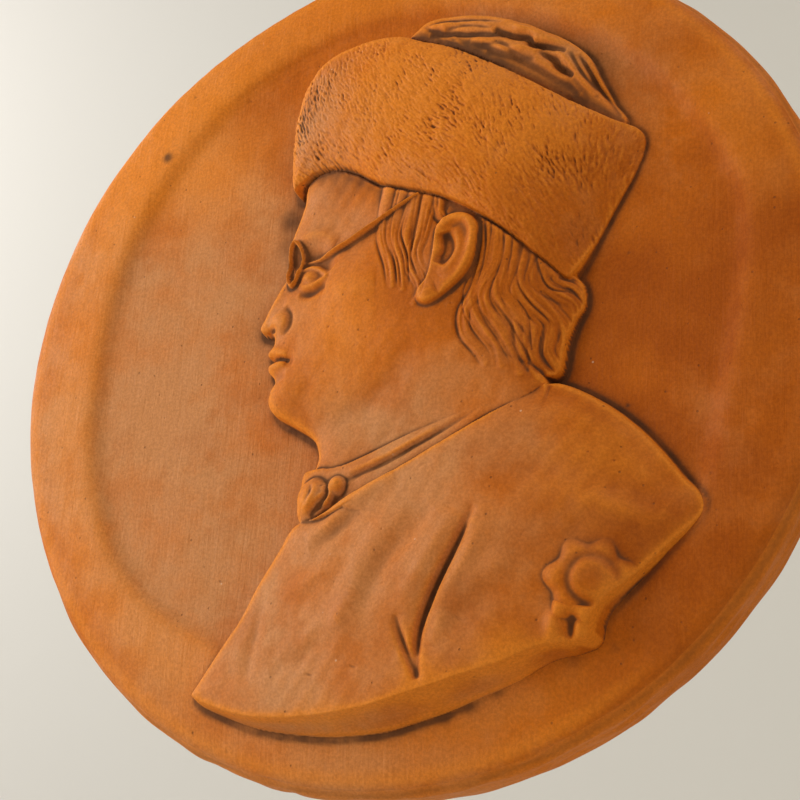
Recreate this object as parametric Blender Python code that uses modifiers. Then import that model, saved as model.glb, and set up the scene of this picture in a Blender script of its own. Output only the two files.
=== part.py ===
"""A terracotta relief roundel: a round plate with a raised border, and on it a bust in profile, facing left.

The plate is a turned profile. The relief is a grid of points raised by a height function, which lays one
carved form over another: head, hair, ear, cap, neckcloth, coat and rosette. The two are joined into one clay
body. The roundel hangs upright: its flat back faces +Y, with the origin at its centre. The bust faces -X.
"""

from math import cos, pi, radians, sin

import bmesh
import bpy
import numpy as np
from mathutils import Matrix, Vector

# Driving sizes of the plate, in metres
PLATE_RADIUS = 0.0575
LIP_HEIGHT = 0.0085
FIELD_DEPTH = 0.0012
BORDER_WIDTH = 0.0088
COVE_WIDTH = 0.0032
BORDER_FALL = 0.0007
EDGE_ROUND = 0.0017
LEDGE_WIDTH = 0.0006
BACK_BEVEL = 0.0007
PLATE_STEPS = 80

# Driving sizes of the relief, in metres
RELIEF_HEIGHT = 0.0080
RELIEF_ROOT = 0.0020
GRID_STEP = 0.0006
RELIEF_TRIANGLES = 7000

# Clay, as linear colour
CLAY_COLOUR = (0.52, 0.19, 0.055, 1.0)
CLAY_ROUGHNESS = 0.72

# Faces that meet at more than this many degrees keep a crisp edge.
SHARP_ANGLE = 40

# The figure is drawn in hundredths of the plate's radius, with heights as shares of the relief's height.
FIGURE_SPAN = 100
FIGURE_UNIT = PLATE_RADIUS / FIGURE_SPAN
FIELD_HEIGHT = LIP_HEIGHT - FIELD_DEPTH
FIELD_RADIUS = PLATE_RADIUS - BORDER_WIDTH - COVE_WIDTH
SUNK = -0.20

# The cove between field and border, as (share of its width, share of the field's depth)
COVE_CURVE = ((0.0, 0.0), (0.25, 0.10), (0.5, 0.45), (0.75, 0.83), (1.0, 0.98))

# Shares of the border's width at which its profile has a point
BORDER_SHARES = (0.12, 0.5, 1.0)

# How far the hand-made edge of the field strays outwards from its circle, as (degrees, figure units)
FIELD_EDGE_STRAY = (
    (0, -3.2), (18, 1.4), (31, 0.8), (60, 0.0), (100, 1.6), (124, 0.5), (136, -0.8), (152, -2.4),
    (164, -4.2), (174, -5.0), (184, -5.2), (200, -3.2), (215, -1.4), (226, -2.2), (240, -5.0), (270, -3.0),
    (333, -1.1), (346, -4.2),
)


# Outlines of the carved forms, each a closed curve through these points

CAP_BAND = (
    (-25.4, 37.6), (-26.6, 42.5), (-27, 49.5), (-26.4, 57.5), (-24, 66), (-19, 72), (-9.5, 74.8),
    (-0.5, 74.4), (6, 71.5), (15.6, 67), (29.4, 58.6), (42.5, 50.2), (52, 45.4), (57.2, 43.4), (59, 40),
    (57.5, 34), (53, 25), (48.5, 16), (45, 9.8), (43, 8.3), (39, 11.5), (29, 19.6), (17.5, 27), (7, 31),
    (-0.7, 34), (-7.2, 38.2), (-13, 40.6), (-18.7, 41), (-22.8, 39.3),
)
CAP_CROWN = (
    (1.8, 71.4), (3.8, 76.3), (8.5, 78.2), (18.2, 77), (27.3, 74), (35, 70.4), (40.8, 66.8), (45.8, 62.4),
    (48.8, 56.2), (51.8, 50.4), (55, 45), (52, 40), (47, 40), (30, 49), (13.5, 59.3),
)
HEAD = (
    (-21.5, 41), (-23.2, 34), (-25.2, 28), (-26.6, 22.8), (-25.2, 18.4), (-27.6, 13), (-30.2, 8.4),
    (-32, 5.1), (-31.2, 3.2), (-28.2, 2.4), (-27.7, 0.2), (-28.9, -1.9), (-28.4, -3.3), (-27.2, -4),
    (-28.2, -5.1), (-28, -6.9), (-26.4, -9), (-26.9, -11.8), (-27, -14.6), (-25, -17.6), (-20.4, -20.2),
    (-15, -23.6), (-13, -27.4), (-12.5, -34), (4, -42), (35, -28), (41, -17), (36, -6), (37, 14), (34, 36),
    (5, 40), (-9, 46),
)
EAR = (
    (15.2, 17.4), (15.8, 21), (18.6, 23), (22.3, 23), (25.2, 20.6), (25.6, 16.6), (24.8, 12.2), (22.3, 8),
    (18.6, 5), (14.8, 3), (12.2, 3.8), (12, 6.2), (14, 9.5), (14.8, 14),
)
HAIR = (
    (24, 23.5), (25.3, 15.6), (24, 8), (21, 2.7), (21.5, -3.4), (24.5, -9), (32, -12.4), (39.3, -13.8),
    (42.7, -12.3), (43.7, -6.2), (45.3, -1), (47, 2.3), (47, 6.2), (45, 9.5), (35.3, 18.5),
)
NECKCLOTH = (
    (-16, -32), (-13, -30.4), (-4, -30), (12, -24), (25.2, -18.6), (34, -14), (38.4, -18.2), (28.6, -24.6),
    (6, -37), (-7, -42.6), (-13.6, -42.4), (-16.4, -38),
)
COAT = (
    (-16, -43), (-20.5, -49.4), (-25, -56.6), (-28.4, -63), (-33, -70), (-37, -76.6), (-38.8, -80),
    (-37, -82), (-32, -84), (-22.4, -86.8), (-12.5, -88), (-2.7, -88.2), (7.2, -87.2), (14, -85.4),
    (22, -82.8), (29, -80), (36.7, -76.8), (43.6, -73), (49.4, -71.6), (53.6, -69.4), (55.6, -63),
    (65.3, -52.8), (74, -42.7), (68.8, -35), (61.2, -26.2), (52.3, -19), (42, -14.2), (35.8, -17.6),
    (28.8, -21.5), (18.7, -27.5), (6.8, -33.6), (-1.4, -37.5), (-8.8, -41.4),
)

# Heights at spots on each form, as (across, up, share of the relief's height)

CAP_BAND_SPOTS = (
    (-24, 44, 0.56), (-24, 60, 0.62), (-8, 56, 0.86), (-9, 72, 0.64), (7, 48, 0.97), (18, 60, 0.88),
    (22, 40, 1.0), (36, 44, 0.82), (38, 26, 0.72), (49, 38, 0.42), (44, 17, 0.34), (55.6, 34, 0.11),
    (-14, 43, 0.76), (57, 41, 0.12), (49.4, 20, 0.13), (39, 17, 0.66),
)
CAP_CROWN_SPOTS = (
    (6, 73, 0.50), (18, 74, 0.56), (33, 68, 0.58), (45, 57, 0.38), (53, 46, 0.18), (30, 56, 0.62),
)
HEAD_SPOTS = (
    (-14, 32, 0.52), (-2, 32, 0.66), (-3, 24, 0.64), (-8, 9, 0.66), (-3, -3, 0.69), (5, -10, 0.68),
    (13, -2, 0.75), (11, 10, 0.76), (19, 12, 0.78), (0, -27, 0.48), (15, -18, 0.62), (33, -14, 0.58),
    (34, 6, 0.66), (-20, -13, 0.52), (-21, -3, 0.48), (-25, 6, 0.42), (-18, 17, 0.46), (-10, -18, 0.54),
    (5, 38, 0.70),
)
HAIR_SPOTS = (
    (26, 18, 0.74), (25, -6, 0.70), (34, 5, 0.64), (33, -9, 0.58), (43.6, 0, 0.26), (42, -12, 0.26),
    (43, 8, 0.28), (36, 14, 0.56),
)
NECKCLOTH_SPOTS = (
    (-14, -36, 0.38), (-13, -41, 0.36), (-3, -34, 0.54), (11, -29, 0.61), (25, -22, 0.60), (35, -17, 0.50),
)
COAT_SPOTS = (
    (-18, -52, 0.52), (-11, -45, 0.62), (-31, -73, 0.48), (-25, -79, 0.56), (-9, -62, 0.70),
    (-4, -80, 0.76), (1, -45, 0.72), (15, -36, 0.80), (12, -62, 0.86), (16, -78, 0.84), (31, -28, 0.72),
    (34, -48, 0.90), (35, -68, 0.80), (49, -32, 0.62), (54, -47, 0.64), (62, -40, 0.40), (71, -44, 0.22),
    (74, -42, 0.17), (57, -56, 0.50), (44, -19, 0.42), (60, -30, 0.28),
)

# Locks of hair from root to tip, each with its half width at the root

LOCKS = (
    (2.6, ((3.1, 33.4), (1.9, 27.1), (1.7, 20.8), (4, 14.2), (5.3, 8.3))),
    (3.0, ((6.4, 32.6), (5.2, 26.9), (4.2, 20.9), (6.7, 14.1), (8, 7.3))),
    (3.2, ((9.8, 32), (8.6, 25.8), (7.4, 19.2), (9.4, 12.7), (12, 7.7), (11.1, 3.6))),
    (3.0, ((13.3, 31), (12.3, 25.3), (11.3, 19.6), (10.4, 15), (12.6, 9.3))),
    (2.6, ((15.3, 29.7), (15.4, 25.8), (16, 23.8), (17.6, 21.7))),
    (3.2, ((26.9, 26.9), (27.5, 21.1), (27.9, 14), (25.9, 5.4), (23, 0.7), (23.1, -3.9), (25.9, -7.8),
           (27.9, -11.1))),
    (3.4, ((28.3, 25.8), (29, 18.1), (28.7, 11.1), (25, 4.6), (26.3, -1.4), (30.3, -7.5), (31.2, -11.8))),
    (3.4, ((29.3, 24.7), (30.1, 19.4), (29.2, 11.1), (27.4, 3), (31.5, -4.2), (34.5, -9.9), (35.1, -13.5))),
    (3.6, ((31.5, 22.3), (32.4, 17), (31.7, 9.7), (30.9, 3.8), (34.6, -1.4), (35.6, -7.9), (39, -14))),
    (3.4, ((33.1, 20.9), (33.7, 14.8), (33.2, 8.1), (34.2, 2.3), (38.3, -4.4), (38.4, -9.3), (41.2, -13.5))),
    (3.4, ((34.4, 19.6), (35.2, 13.4), (34.4, 7.1), (37.1, 2), (40.7, -2.2), (40.1, -8.2), (43.4, -13.1))),
    (3.0, ((36.6, 17.3), (37.3, 11.8), (36.7, 5.7), (40.5, 1.1), (43.4, -2.8), (44.1, -9))),
    (3.0, ((38.5, 14.4), (38.9, 10.1), (39.1, 6.9), (42.1, 4.7), (45.1, 2.6), (45.7, -2.4))),
    (3.0, ((39.5, 13.1), (40.3, 10.2), (41.3, 7.3), (44.5, 6.5), (47, 3.3))),
)
LOCK_RISE = 0.08
LOCK_TIP_SHARE = 0.3
LOCK_END_FALL = 0.8

# Ridges and furrows, as (rise, half width, route), with a furrow's rise below zero

EAR_RISE = 0.09
EAR_RIDGES = (
    (0.09, 1.5, ((16.6, 13.6), (16.2, 18.8), (19.2, 21.6), (22.8, 21.4), (24.6, 18.4), (24.2, 13.6),
                 (21.6, 8.6), (17, 5.4))),
    (0.05, 1.4, ((20, 19.6), (21.4, 15.4), (20, 11.4), (17.4, 8.6))),
    (-0.16, 1.5, ((17.8, 18.8), (18.8, 15), (17, 11.4))),
    (0.05, 2.0, ((16.4, 6.2), (12.6, 4.4))),
)
FACE_RIDGES = (
    (0.07, 1.7, ((-25.4, 22.4), (-21, 24.6), (-15.6, 24.6), (-11.4, 21.8))),
    (-0.12, 2.4, ((-23.6, 18.4), (-20, 19.6), (-15.4, 18.6), (-12, 15))),
    (0.07, 0.7, ((-21.2, 14.5), (-19.6, 16.8), (-16.6, 16.9), (-12.6, 14.2))),
    (0.05, 0.75, ((-20.8, 13.4), (-18.8, 12), (-15.8, 12.4), (-12.6, 14.2))),
    (-0.05, 1.0, ((-20.4, 10.4), (-16.6, 10.2), (-12.8, 11.8))),
    (0.05, 1.8, ((-25, 17.6), (-27.2, 12.6), (-30.6, 6.8))),
    (-0.06, 0.9, ((-24, 8.4), (-22.4, 6.2), (-22.5, 3.6), (-24.2, 1.7))),
    (-0.09, 0.55, ((-29.4, 3), (-27.8, 3.5), (-26.4, 3))),
    (-0.11, 0.55, ((-28.8, -3.8), (-26.2, -4), (-23.8, -4.3), (-21.2, -5.2))),
    (0.05, 1.2, ((-28.6, -2.4), (-25.6, -2.4), (-22, -3.7))),
    (0.06, 1.3, ((-28.4, -5.9), (-25.6, -6.1), (-22.2, -5.9))),
    (-0.05, 1.5, ((-27.4, -9.3), (-24.6, -9.3), (-21.6, -8.6))),
    (0.05, 3.6, ((-13, 11.6), (-6, 9.4), (1, 9.6))),
    (-0.05, 3.2, ((-17, -22.4), (-5, -20.6), (6, -13.6), (12.4, -3.6))),
)
FACE_LUMPS = (
    (-18.1, 14.5, 3.0, 0.08), (-25.4, 4.6, 3.8, 0.07), (-21, -5.3, 2.0, -0.04), (-22.4, -14, 8.0, 0.07),
)
SPECTACLE_RIDGES = (
    (0.13, 0.62, ((-22.6, 24), (-24.1, 22.2), (-24.6, 18.6), (-24.1, 15), (-22.6, 13.2), (-21.1, 15),
                  (-20.6, 18.6), (-21.1, 22.2), (-22.6, 24))),
    (0.15, 0.7, ((-21, 18.9), (-15, 19.2), (-7.8, 20.8), (1.3, 25), (12.2, 30.6), (17, 33.2))),
)
NECKCLOTH_RIDGES = (
    (-0.06, 0.8, ((-5, -34.8), (5, -31.6), (16, -26.4), (27, -20.6))),
    (0.04, 1.0, ((-3, -33), (7, -29.8), (18, -24.6))),
)
COAT_RIDGES = (
    (-0.15, 0.95, ((28.8, -42.6), (26, -49), (21.8, -57.2), (18.8, -64.9), (17.8, -70.6), (18.6, -78))),
    (-0.07, 3.2, ((27.4, -46), (22.8, -55.6), (19.4, -64.9), (18.4, -73))),
    (-0.09, 0.8, ((12.8, -64.6), (14, -68.3), (16.2, -73), (18.4, -77.6))),
    (0.07, 2.6, ((31.6, -43), (28.2, -52.4), (23.6, -61), (21, -71))),
    (0.06, 3.0, ((24.4, -43.4), (20.7, -51.5), (16.3, -59.1), (13.6, -64))),
    (-0.07, 2.4, ((19, -42), (13.5, -48.2), (8.7, -54), (5.8, -60.1), (4.9, -65))),
    (0.05, 3.2, ((13, -41), (6.8, -47.7), (2.9, -55.3), (0.7, -64.9), (-1, -73))),
    (0.08, 2.2, ((9.4, -34.4), (-0.9, -40), (-6, -44.6), (-11, -48))),
    (-0.06, 2.0, ((2, -42), (-3.7, -46.1), (-10, -49.4))),
    (0.04, 2.0, ((-1.6, -52.6), (-9.9, -57), (-16.2, -59.8))),
    (-0.04, 1.6, ((-20.8, -59.6), (-22.3, -68.2), (-23, -78))),
    (0.05, 2.6, ((2.4, -62.6), (-6.1, -69), (-14.4, -74))),
    (-0.05, 2.4, ((-0.4, -65.6), (-8, -71.7), (-16.4, -76))),
    (-0.05, 2.6, ((35, -56.6), (29.3, -62.6), (25, -69.4))),
    (0.05, 2.6, ((37, -52.6), (30.7, -59.1), (26.4, -65.2))),
    (0.05, 3.6, ((14.4, -32), (29.7, -25.6), (43.1, -22.6), (54.6, -27), (66, -36.4))),
    (-0.05, 3.6, ((29.7, -37), (43, -35.2), (54.6, -37.4), (66, -43.4))),
    (0.04, 2.6, ((48.8, -40.6), (60, -43.8), (71, -46))),
)
CROWN_RIDGES = (
    (-0.08, 0.8, ((8, 72.2), (14, 71.4), (17.9, 70.3), (22.7, 69.2), (27.6, 68))),
    (0.05, 1.0, ((8, 74.6), (14, 73.8), (20, 72.4), (24, 71.2))),
    (-0.07, 0.8, ((5, 75.6), (11, 76), (17, 74.8), (23, 73.4), (27, 72.4))),
    (-0.05, 0.6, ((12, 73), (18, 72.8), (24, 70.6))),
    (-0.18, 0.9, ((24.8, 70.2), (28.8, 67.9), (32.4, 66.8), (34, 65), (37.4, 64), (41.6, 62.4))),
    (0.06, 1.0, ((26, 72.6), (30, 70.2), (34, 68.6), (38, 66), (42, 64.4))),
    (-0.06, 0.7, ((28, 73.6), (31.6, 70.6), (36, 69), (40.4, 65.6))),
    (0.05, 0.9, ((19, 68.4), (24, 66.8), (28, 64.4), (33, 63.6), (36.6, 61.6))),
    (-0.05, 0.7, ((22, 66.6), (27, 65.6), (31, 62.2), (35, 60.6))),
    (-0.17, 0.9, ((35.4, 63), (38.7, 60.7), (40, 58.8), (43.6, 56.2))),
    (0.05, 0.8, ((38.6, 63.2), (42, 60), (44.2, 56), (48.4, 51.4))),
    (-0.05, 0.6, ((42.4, 62.6), (44, 58.6), (47, 54), (49, 50.4))),
    (-0.06, 1.0, ((23.3, 64.2), (27.2, 63.2), (33, 60), (39.4, 55.6), (45, 51.6))),
    (-0.10, 0.7, ((44.2, 61.6), (46.1, 58.2), (48.5, 53.5), (51.5, 49.7), (53.8, 46))),
    (0.08, 0.8, ((45, 63), (47.8, 58.4), (50.4, 53.2), (53.4, 48.6), (55.4, 45))),
)

# How each form rounds over at its outline, as (reach inwards, share of the height left at the outline)

HEAD_ROUNDING = (8, 0.45)
HAIR_ROUNDING = (6, 0.75)
NECKCLOTH_ROUNDING = (4, 0.78)
COAT_ROUNDING = (8, 0.64)
CROWN_ROUNDING = (4, 0.50)

# The step where one form lies over another is this wide, in figure units. Locks of hair and spectacles fade
# in up to this share of the relief's height.

SOFT_STEP = 1.2
CLEAR_RISE = 0.25

# The cap's band rounds over less at the back than over the brow, as (across, share of the height left)

CAP_REACH = 9
CAP_BROW_EDGE = (0, 0.62)
CAP_BACK_EDGE = (46, 0.85)

# How the coat is cut off below: the cut face is widest under the slit and narrows to both tips

CUT_MIDDLE = 12
CUT_REACH = 34
CUT_TOP = -60
CUT_FADE = 14
CUT_WIDTH = 3.4
CUT_FOOT = 0.15
WALL_WIDTH = 1.0

# The coat's edge keeps this share of its height along the cut, and where it rests on neck and neckcloth,
# which it does from this share of the relief's height up.

CUT_EDGE = 0.96
COLLAR_REST = 0.35

# The knot of the neckcloth: swellings as (across, up, radius, rise), on a foot at this height, and furrows

KNOT_LUMPS = (
    (-10.9, -37.8, 5.8, 0.24), (-12, -41, 4.4, 0.12), (-5.4, -35.6, 4.0, 0.24), (-7.6, -38.8, 2.4, 0.10),
)
KNOT_FOOT = 0.42
KNOT_EDGE = 0.02
KNOT_FURROWS = (
    (-0.10, 0.6, ((-8.4, -33), (-7.7, -35.6), (-7.6, -37.6), (-8.9, -39.6), (-11.4, -42.2))),
    (-0.04, 0.6, ((-12.2, -34.8), (-11.4, -37), (-12, -40))),
)

# The rosette on the coat: a boss in a ring of lobes, each lobe row as (count, share of the radius, turn in
# degrees), the ring's furrow as (share of the radius, width, depth), and its fading as (degrees, share lost)

ROSETTE_CENTRE = (53.2, -57.9)
ROSETTE_RADIUS = 8.4
ROSETTE_RISE = 0.15
ROSETTE_LOBES = (7, 0.10, 20)
ROSETTE_SWELL = (1, 0.10, 215)
ROSETTE_RING = (0.56, 0.15, 0.46)
ROSETTE_FADE = (45, 0.75)
ROSETTE_TAILS = (
    (0.10, 1.9, ((47.4, -62.6), (46.2, -66), (45.4, -70))),
    (0.10, 1.8, ((51.6, -63), (51.4, -66.6), (51.2, -70.4))),
    (-0.05, 0.8, ((49.6, -64.6), (49, -67.6), (48.6, -70.4))),
)


def catmull(points, closed, steps=8):
    """Points along a smooth curve through the given ones."""
    points = np.array(points, float)
    if closed:
        padded = np.vstack([points[-1:], points, points[:2]])
    else:
        padded = np.vstack([2 * points[0] - points[1], points, 2 * points[-1] - points[-2]])
    share = np.linspace(0, 1, steps, endpoint=False)[:, None]
    pieces = []
    for a, b, c, d in zip(padded, padded[1:], padded[2:], padded[3:]):
        pieces.append(
            b + 0.5 * share * (c - a)
            + share**2 * (a - 2.5 * b + 2 * c - 0.5 * d)
            + share**3 * (1.5 * (b - c) + 0.5 * (d - a))
        )
    if not closed:
        pieces.append(points[-1:])
    return np.vstack(pieces)


def near_line(x, y, line):
    """For each point, its distance from an open line and the share of the line that lies before it."""
    nearest = np.full(x.shape, np.inf)
    along = np.zeros(x.shape)
    lengths = np.hypot(*np.diff(line, axis=0).T)
    before = 0.0
    for (ax, ay), (bx, by), length in zip(line, line[1:], lengths):
        share = ((x - ax) * (bx - ax) + (y - ay) * (by - ay)) / length**2
        share = np.clip(share, 0, 1)
        distance = np.hypot(x - ax - share * (bx - ax), y - ay - share * (by - ay))
        closer = distance < nearest
        nearest = np.where(closer, distance, nearest)
        along = np.where(closer, before + share * length, along)
        before += length
    return nearest, along / before


def near_route(x, y, line, reach):
    """Which points lie within reach of a line's box, and for those what near_line gives."""
    low = line.min(axis=0) - reach
    high = line.max(axis=0) + reach
    near = (x > low[0]) & (x < high[0]) & (y > low[1]) & (y < high[1])
    return near, *near_line(x[near], y[near], line)


def inside_distance(x, y, outline):
    """Each point's distance from a closed outline, above zero inside it."""
    line = catmull(outline, closed=True)
    line = np.vstack([line, line[:1]])
    distance, _ = near_line(x, y, line)
    inside = np.zeros(x.shape, bool)
    for (ax, ay), (bx, by) in zip(line, line[1:]):
        if ay != by:
            crosses = (ay > y) != (by > y)
            inside ^= crosses & (x < ax + (y - ay) * (bx - ax) / (by - ay))
    return np.where(inside, distance, -distance)


def through_spots(x, y, spots):
    """A smooth surface through heights at a few spots, as a thin plate bends."""
    spots = np.array(spots, float)

    def bend(square):
        return square * np.log(square + 1e-9)

    gaps = (spots[:, None, :2] - spots[None, :, :2]) ** 2
    count = len(spots)
    plane = np.hstack([np.ones((count, 1)), spots[:, :2]])
    system = np.zeros((count + 3, count + 3))
    system[:count, :count] = bend(gaps.sum(axis=2))
    system[:count, count:] = plane
    system[count:, :count] = plane.T
    weights = np.linalg.solve(system, np.append(spots[:, 2], np.zeros(3)))
    surface = weights[count] + weights[count + 1] * x + weights[count + 2] * y
    for (across, up, _), weight in zip(spots, weights):
        surface = surface + weight * bend((x - across) ** 2 + (y - up) ** 2)
    return surface


def rounded(distance, reach, edge):
    """A share that rises like a quarter circle, from the edge's value at the outline to 1 at this reach."""
    share = np.clip(distance / reach, 0, 1)
    return edge + (1 - edge) * np.sqrt(1 - (1 - share) ** 2)


def blend_in(distance, width):
    """0 outside an outline, 1 inside it, with a soft step of this width at it."""
    share = np.clip(distance / width + 0.5, 0, 1)
    return share * share * (3 - 2 * share)


def laid_over(height, form, distance):
    """The form where it lies over what was there before, with a soft step at its outline."""
    return height + (form - height) * blend_in(distance, SOFT_STEP)


def standing(height):
    """0 at the field and 1 where the relief stands clear of it, for what is added only on the relief."""
    return np.clip(height / CLEAR_RISE, 0, 1)


def ridge(x, y, rise, half_width, route):
    """A soft ridge or furrow along a route: it fades at both ends, or runs round where the route closes."""
    ring = route[0] == route[-1]
    line = catmull(route[:-1] if ring else route, closed=ring)
    if ring:
        line = np.vstack([line, line[:1]])
    near, distance, along = near_route(x, y, line, 3 * half_width)
    fade = 1 if ring else np.sin(pi * np.clip(along, 0, 1)) ** 0.6
    raised = np.zeros(x.shape)
    raised[near] = rise * fade * np.exp(-((distance / half_width) ** 2))
    return raised


def with_ridges(x, y, height, ridges):
    """The height with ridges and furrows added to it."""
    for rise, half_width, route in ridges:
        height = height + ridge(x, y, rise, half_width, route)
    return height


def lump(x, y, across, up, radius, rise):
    """A low round swelling."""
    return rise * np.clip(1 - ((x - across) ** 2 + (y - up) ** 2) / radius**2, 0, 1) ** 2


def with_locks(x, y, height):
    """The height with locks of hair on it, side by side, each tapering to its tip."""
    base = height
    height = height.copy()
    for half_width, route in LOCKS:
        near, distance, along = near_route(x, y, catmull(route, closed=False), half_width)
        width = half_width * (1 - (1 - LOCK_TIP_SHARE) * along)
        arch = np.clip(1 - (distance / width) ** 2, 0, 1)
        lock = base[near] + LOCK_RISE * arch * (1 - LOCK_END_FALL * along)
        height[near] = np.where(arch > 0, np.maximum(height[near], lock), height[near])
    return height


def rosette(x, y):
    """A boss inside a ring of soft uneven lobes, which fade at their upper right, and two short tails."""
    across, up = ROSETTE_CENTRE
    radius = np.hypot(x - across, y - up) / ROSETTE_RADIUS
    angle = np.degrees(np.arctan2(y - up, x - across))
    edge = 1.0
    for count, share, turn in (ROSETTE_LOBES, ROSETTE_SWELL):
        edge = edge + share * np.cos(np.radians(count * (angle - turn)))
    place, width, depth = ROSETTE_RING
    ring = 1 - depth * np.exp(-(((radius - place) / width) ** 2))
    toward, share = ROSETTE_FADE
    shown = 1 - share * (0.5 + 0.5 * np.cos(np.radians(angle - toward))) * np.clip(2 * radius - 1, 0, 1)
    dish = np.clip(1 - (radius / edge) ** 4, 0, 1)
    return with_ridges(x, y, ROSETTE_RISE * dish * ring * shown, ROSETTE_TAILS)


def relief_height(x, y):
    """The relief's height above the field as a share of its full height, and SUNK well outside it."""
    height = np.full(x.shape, SUNK)
    head = inside_distance(x, y, HEAD)
    face = through_spots(x, y, HEAD_SPOTS) * rounded(head, *HEAD_ROUNDING)
    face = with_ridges(x, y, face, FACE_RIDGES)
    for across, up, radius, rise in FACE_LUMPS:
        face = face + lump(x, y, across, up, radius, rise)
    height = laid_over(height, face, head)

    hair = inside_distance(x, y, HAIR)
    mass = through_spots(x, y, HAIR_SPOTS) * rounded(hair, *HAIR_ROUNDING)
    combed = np.maximum(height, laid_over(SUNK, mass, hair))
    height = combed + (with_locks(x, y, combed) - combed) * standing(combed)

    ear = inside_distance(x, y, EAR)
    shell = with_ridges(x, y, height + EAR_RISE, EAR_RIDGES)
    height = laid_over(height, shell, ear)

    rims = np.maximum(height, with_ridges(x, y, combed, SPECTACLE_RIDGES))
    height = height + (rims - height) * standing(combed)

    cloth = inside_distance(x, y, NECKCLOTH)
    wrap = through_spots(x, y, NECKCLOTH_SPOTS) * rounded(cloth, *NECKCLOTH_ROUNDING)
    wrap = with_ridges(x, y, wrap, NECKCLOTH_RIDGES)
    height = np.maximum(height, laid_over(SUNK, wrap, cloth))

    coat = inside_distance(x, y, COAT)
    under = blend_in(CUT_TOP - y, CUT_FADE) * np.exp(-(((x - CUT_MIDDLE) / CUT_REACH) ** 2))
    reach, edge = COAT_ROUNDING
    edge = edge + (CUT_EDGE - edge) * np.maximum(under, np.clip(height / COLLAR_REST, 0, 1))
    drape = through_spots(x, y, COAT_SPOTS) * rounded(coat, reach, edge)
    drape = with_ridges(x, y, drape, COAT_RIDGES)
    wall = np.clip(coat / (WALL_WIDTH + CUT_WIDTH * under), 0, 1)
    sides = (drape + rosette(x, y)) * (CUT_FOOT + (1 - CUT_FOOT) * wall)
    height = laid_over(height, np.where(wall < 1, np.maximum(sides, height), sides), coat)

    knot = sum(lump(x, y, *swelling) for swelling in KNOT_LUMPS)
    tied = with_ridges(x, y, KNOT_FOOT + knot, KNOT_FURROWS)
    height = height + np.maximum(tied - height, 0) * blend_in(knot - KNOT_EDGE, KNOT_EDGE)

    crown = inside_distance(x, y, CAP_CROWN)
    folds = through_spots(x, y, CAP_CROWN_SPOTS) * rounded(crown, *CROWN_ROUNDING)
    height = laid_over(height, with_ridges(x, y, folds, CROWN_RIDGES), crown)

    band = inside_distance(x, y, CAP_BAND)
    edge = np.interp(x, (CAP_BROW_EDGE[0], CAP_BACK_EDGE[0]), (CAP_BROW_EDGE[1], CAP_BACK_EDGE[1]))
    fur = through_spots(x, y, CAP_BAND_SPOTS) * rounded(band, CAP_REACH, edge)
    return laid_over(height, fur, band)


def arc(centre, radius, first, last, steps):
    """Points on an arc in the profile's plane, by angle in degrees."""
    angles = np.radians(np.linspace(first, last, steps + 1))
    return [(centre[0] + radius * cos(a), centre[1] + radius * sin(a)) for a in angles]


def plate_profile():
    """The turned profile's points, from the field's centre over border and side to the back's centre."""
    border_start = PLATE_RADIUS - BORDER_WIDTH
    border_end = PLATE_RADIUS - LEDGE_WIDTH - EDGE_ROUND
    border_end_height = LIP_HEIGHT - BORDER_FALL
    points = [(0.0, FIELD_HEIGHT), (0.5 * FIELD_RADIUS, FIELD_HEIGHT)]
    for across, up in COVE_CURVE:
        points.append((FIELD_RADIUS + across * COVE_WIDTH, FIELD_HEIGHT + up * FIELD_DEPTH))
    for share in BORDER_SHARES:
        across = border_start + share * (border_end - border_start)
        points.append((across, LIP_HEIGHT - BORDER_FALL * share**2))
    points += arc((border_end, border_end_height - EDGE_ROUND), EDGE_ROUND, 60, 0, 2)
    points.append((PLATE_RADIUS, border_end_height - EDGE_ROUND - 0.5 * LEDGE_WIDTH))
    points += [(PLATE_RADIUS, BACK_BEVEL), (PLATE_RADIUS - BACK_BEVEL, 0.0), (0.0, 0.0)]
    return points


def stray_at(angle):
    """How far the field's edge strays outwards from its circle at an angle, in metres."""
    angles = [radians(a) for a, _ in FIELD_EDGE_STRAY]
    strays = [s * FIGURE_UNIT for _, s in FIELD_EDGE_STRAY]
    return float(np.interp(angle % (2 * pi), angles + [2 * pi], strays + strays[:1]))


def add_object(name, mesh, collection):
    made = bpy.data.objects.new(name, mesh)
    collection.objects.link(made)
    return made


def turned_plate(collection):
    """The plate as a turned mesh, with the field's edge moved to where the hand left it."""
    profile = bpy.data.meshes.new("plate_profile")
    points = [(across, 0.0, up) for across, up in plate_profile()]
    profile.from_pydata(points, [(i, i + 1) for i in range(len(points) - 1)], [])
    guide = add_object("plate_profile", profile, collection)
    screw = guide.modifiers.new("turn", "SCREW")
    screw.axis = "Z"
    screw.steps = PLATE_STEPS
    screw.render_steps = PLATE_STEPS
    screw.use_merge_vertices = True
    screw.merge_threshold = 0.00001
    bpy.context.view_layer.update()
    mesh = bpy.data.meshes.new_from_object(guide.evaluated_get(bpy.context.evaluated_depsgraph_get()))
    bpy.data.objects.remove(guide)
    for vertex in mesh.vertices:
        radius = vertex.co.xy.length
        if vertex.co.z < FIELD_HEIGHT - 0.1 * FIELD_DEPTH or radius < 0.6 * FIELD_RADIUS:
            continue
        outer = max(0.0, min(1.0, (PLATE_RADIUS - 2 * LEDGE_WIDTH - radius) / (0.5 * BORDER_WIDTH)))
        vertex.co.xy *= 1 + stray_at(np.arctan2(vertex.co.y, vertex.co.x)) * outer / radius
    return mesh


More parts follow.
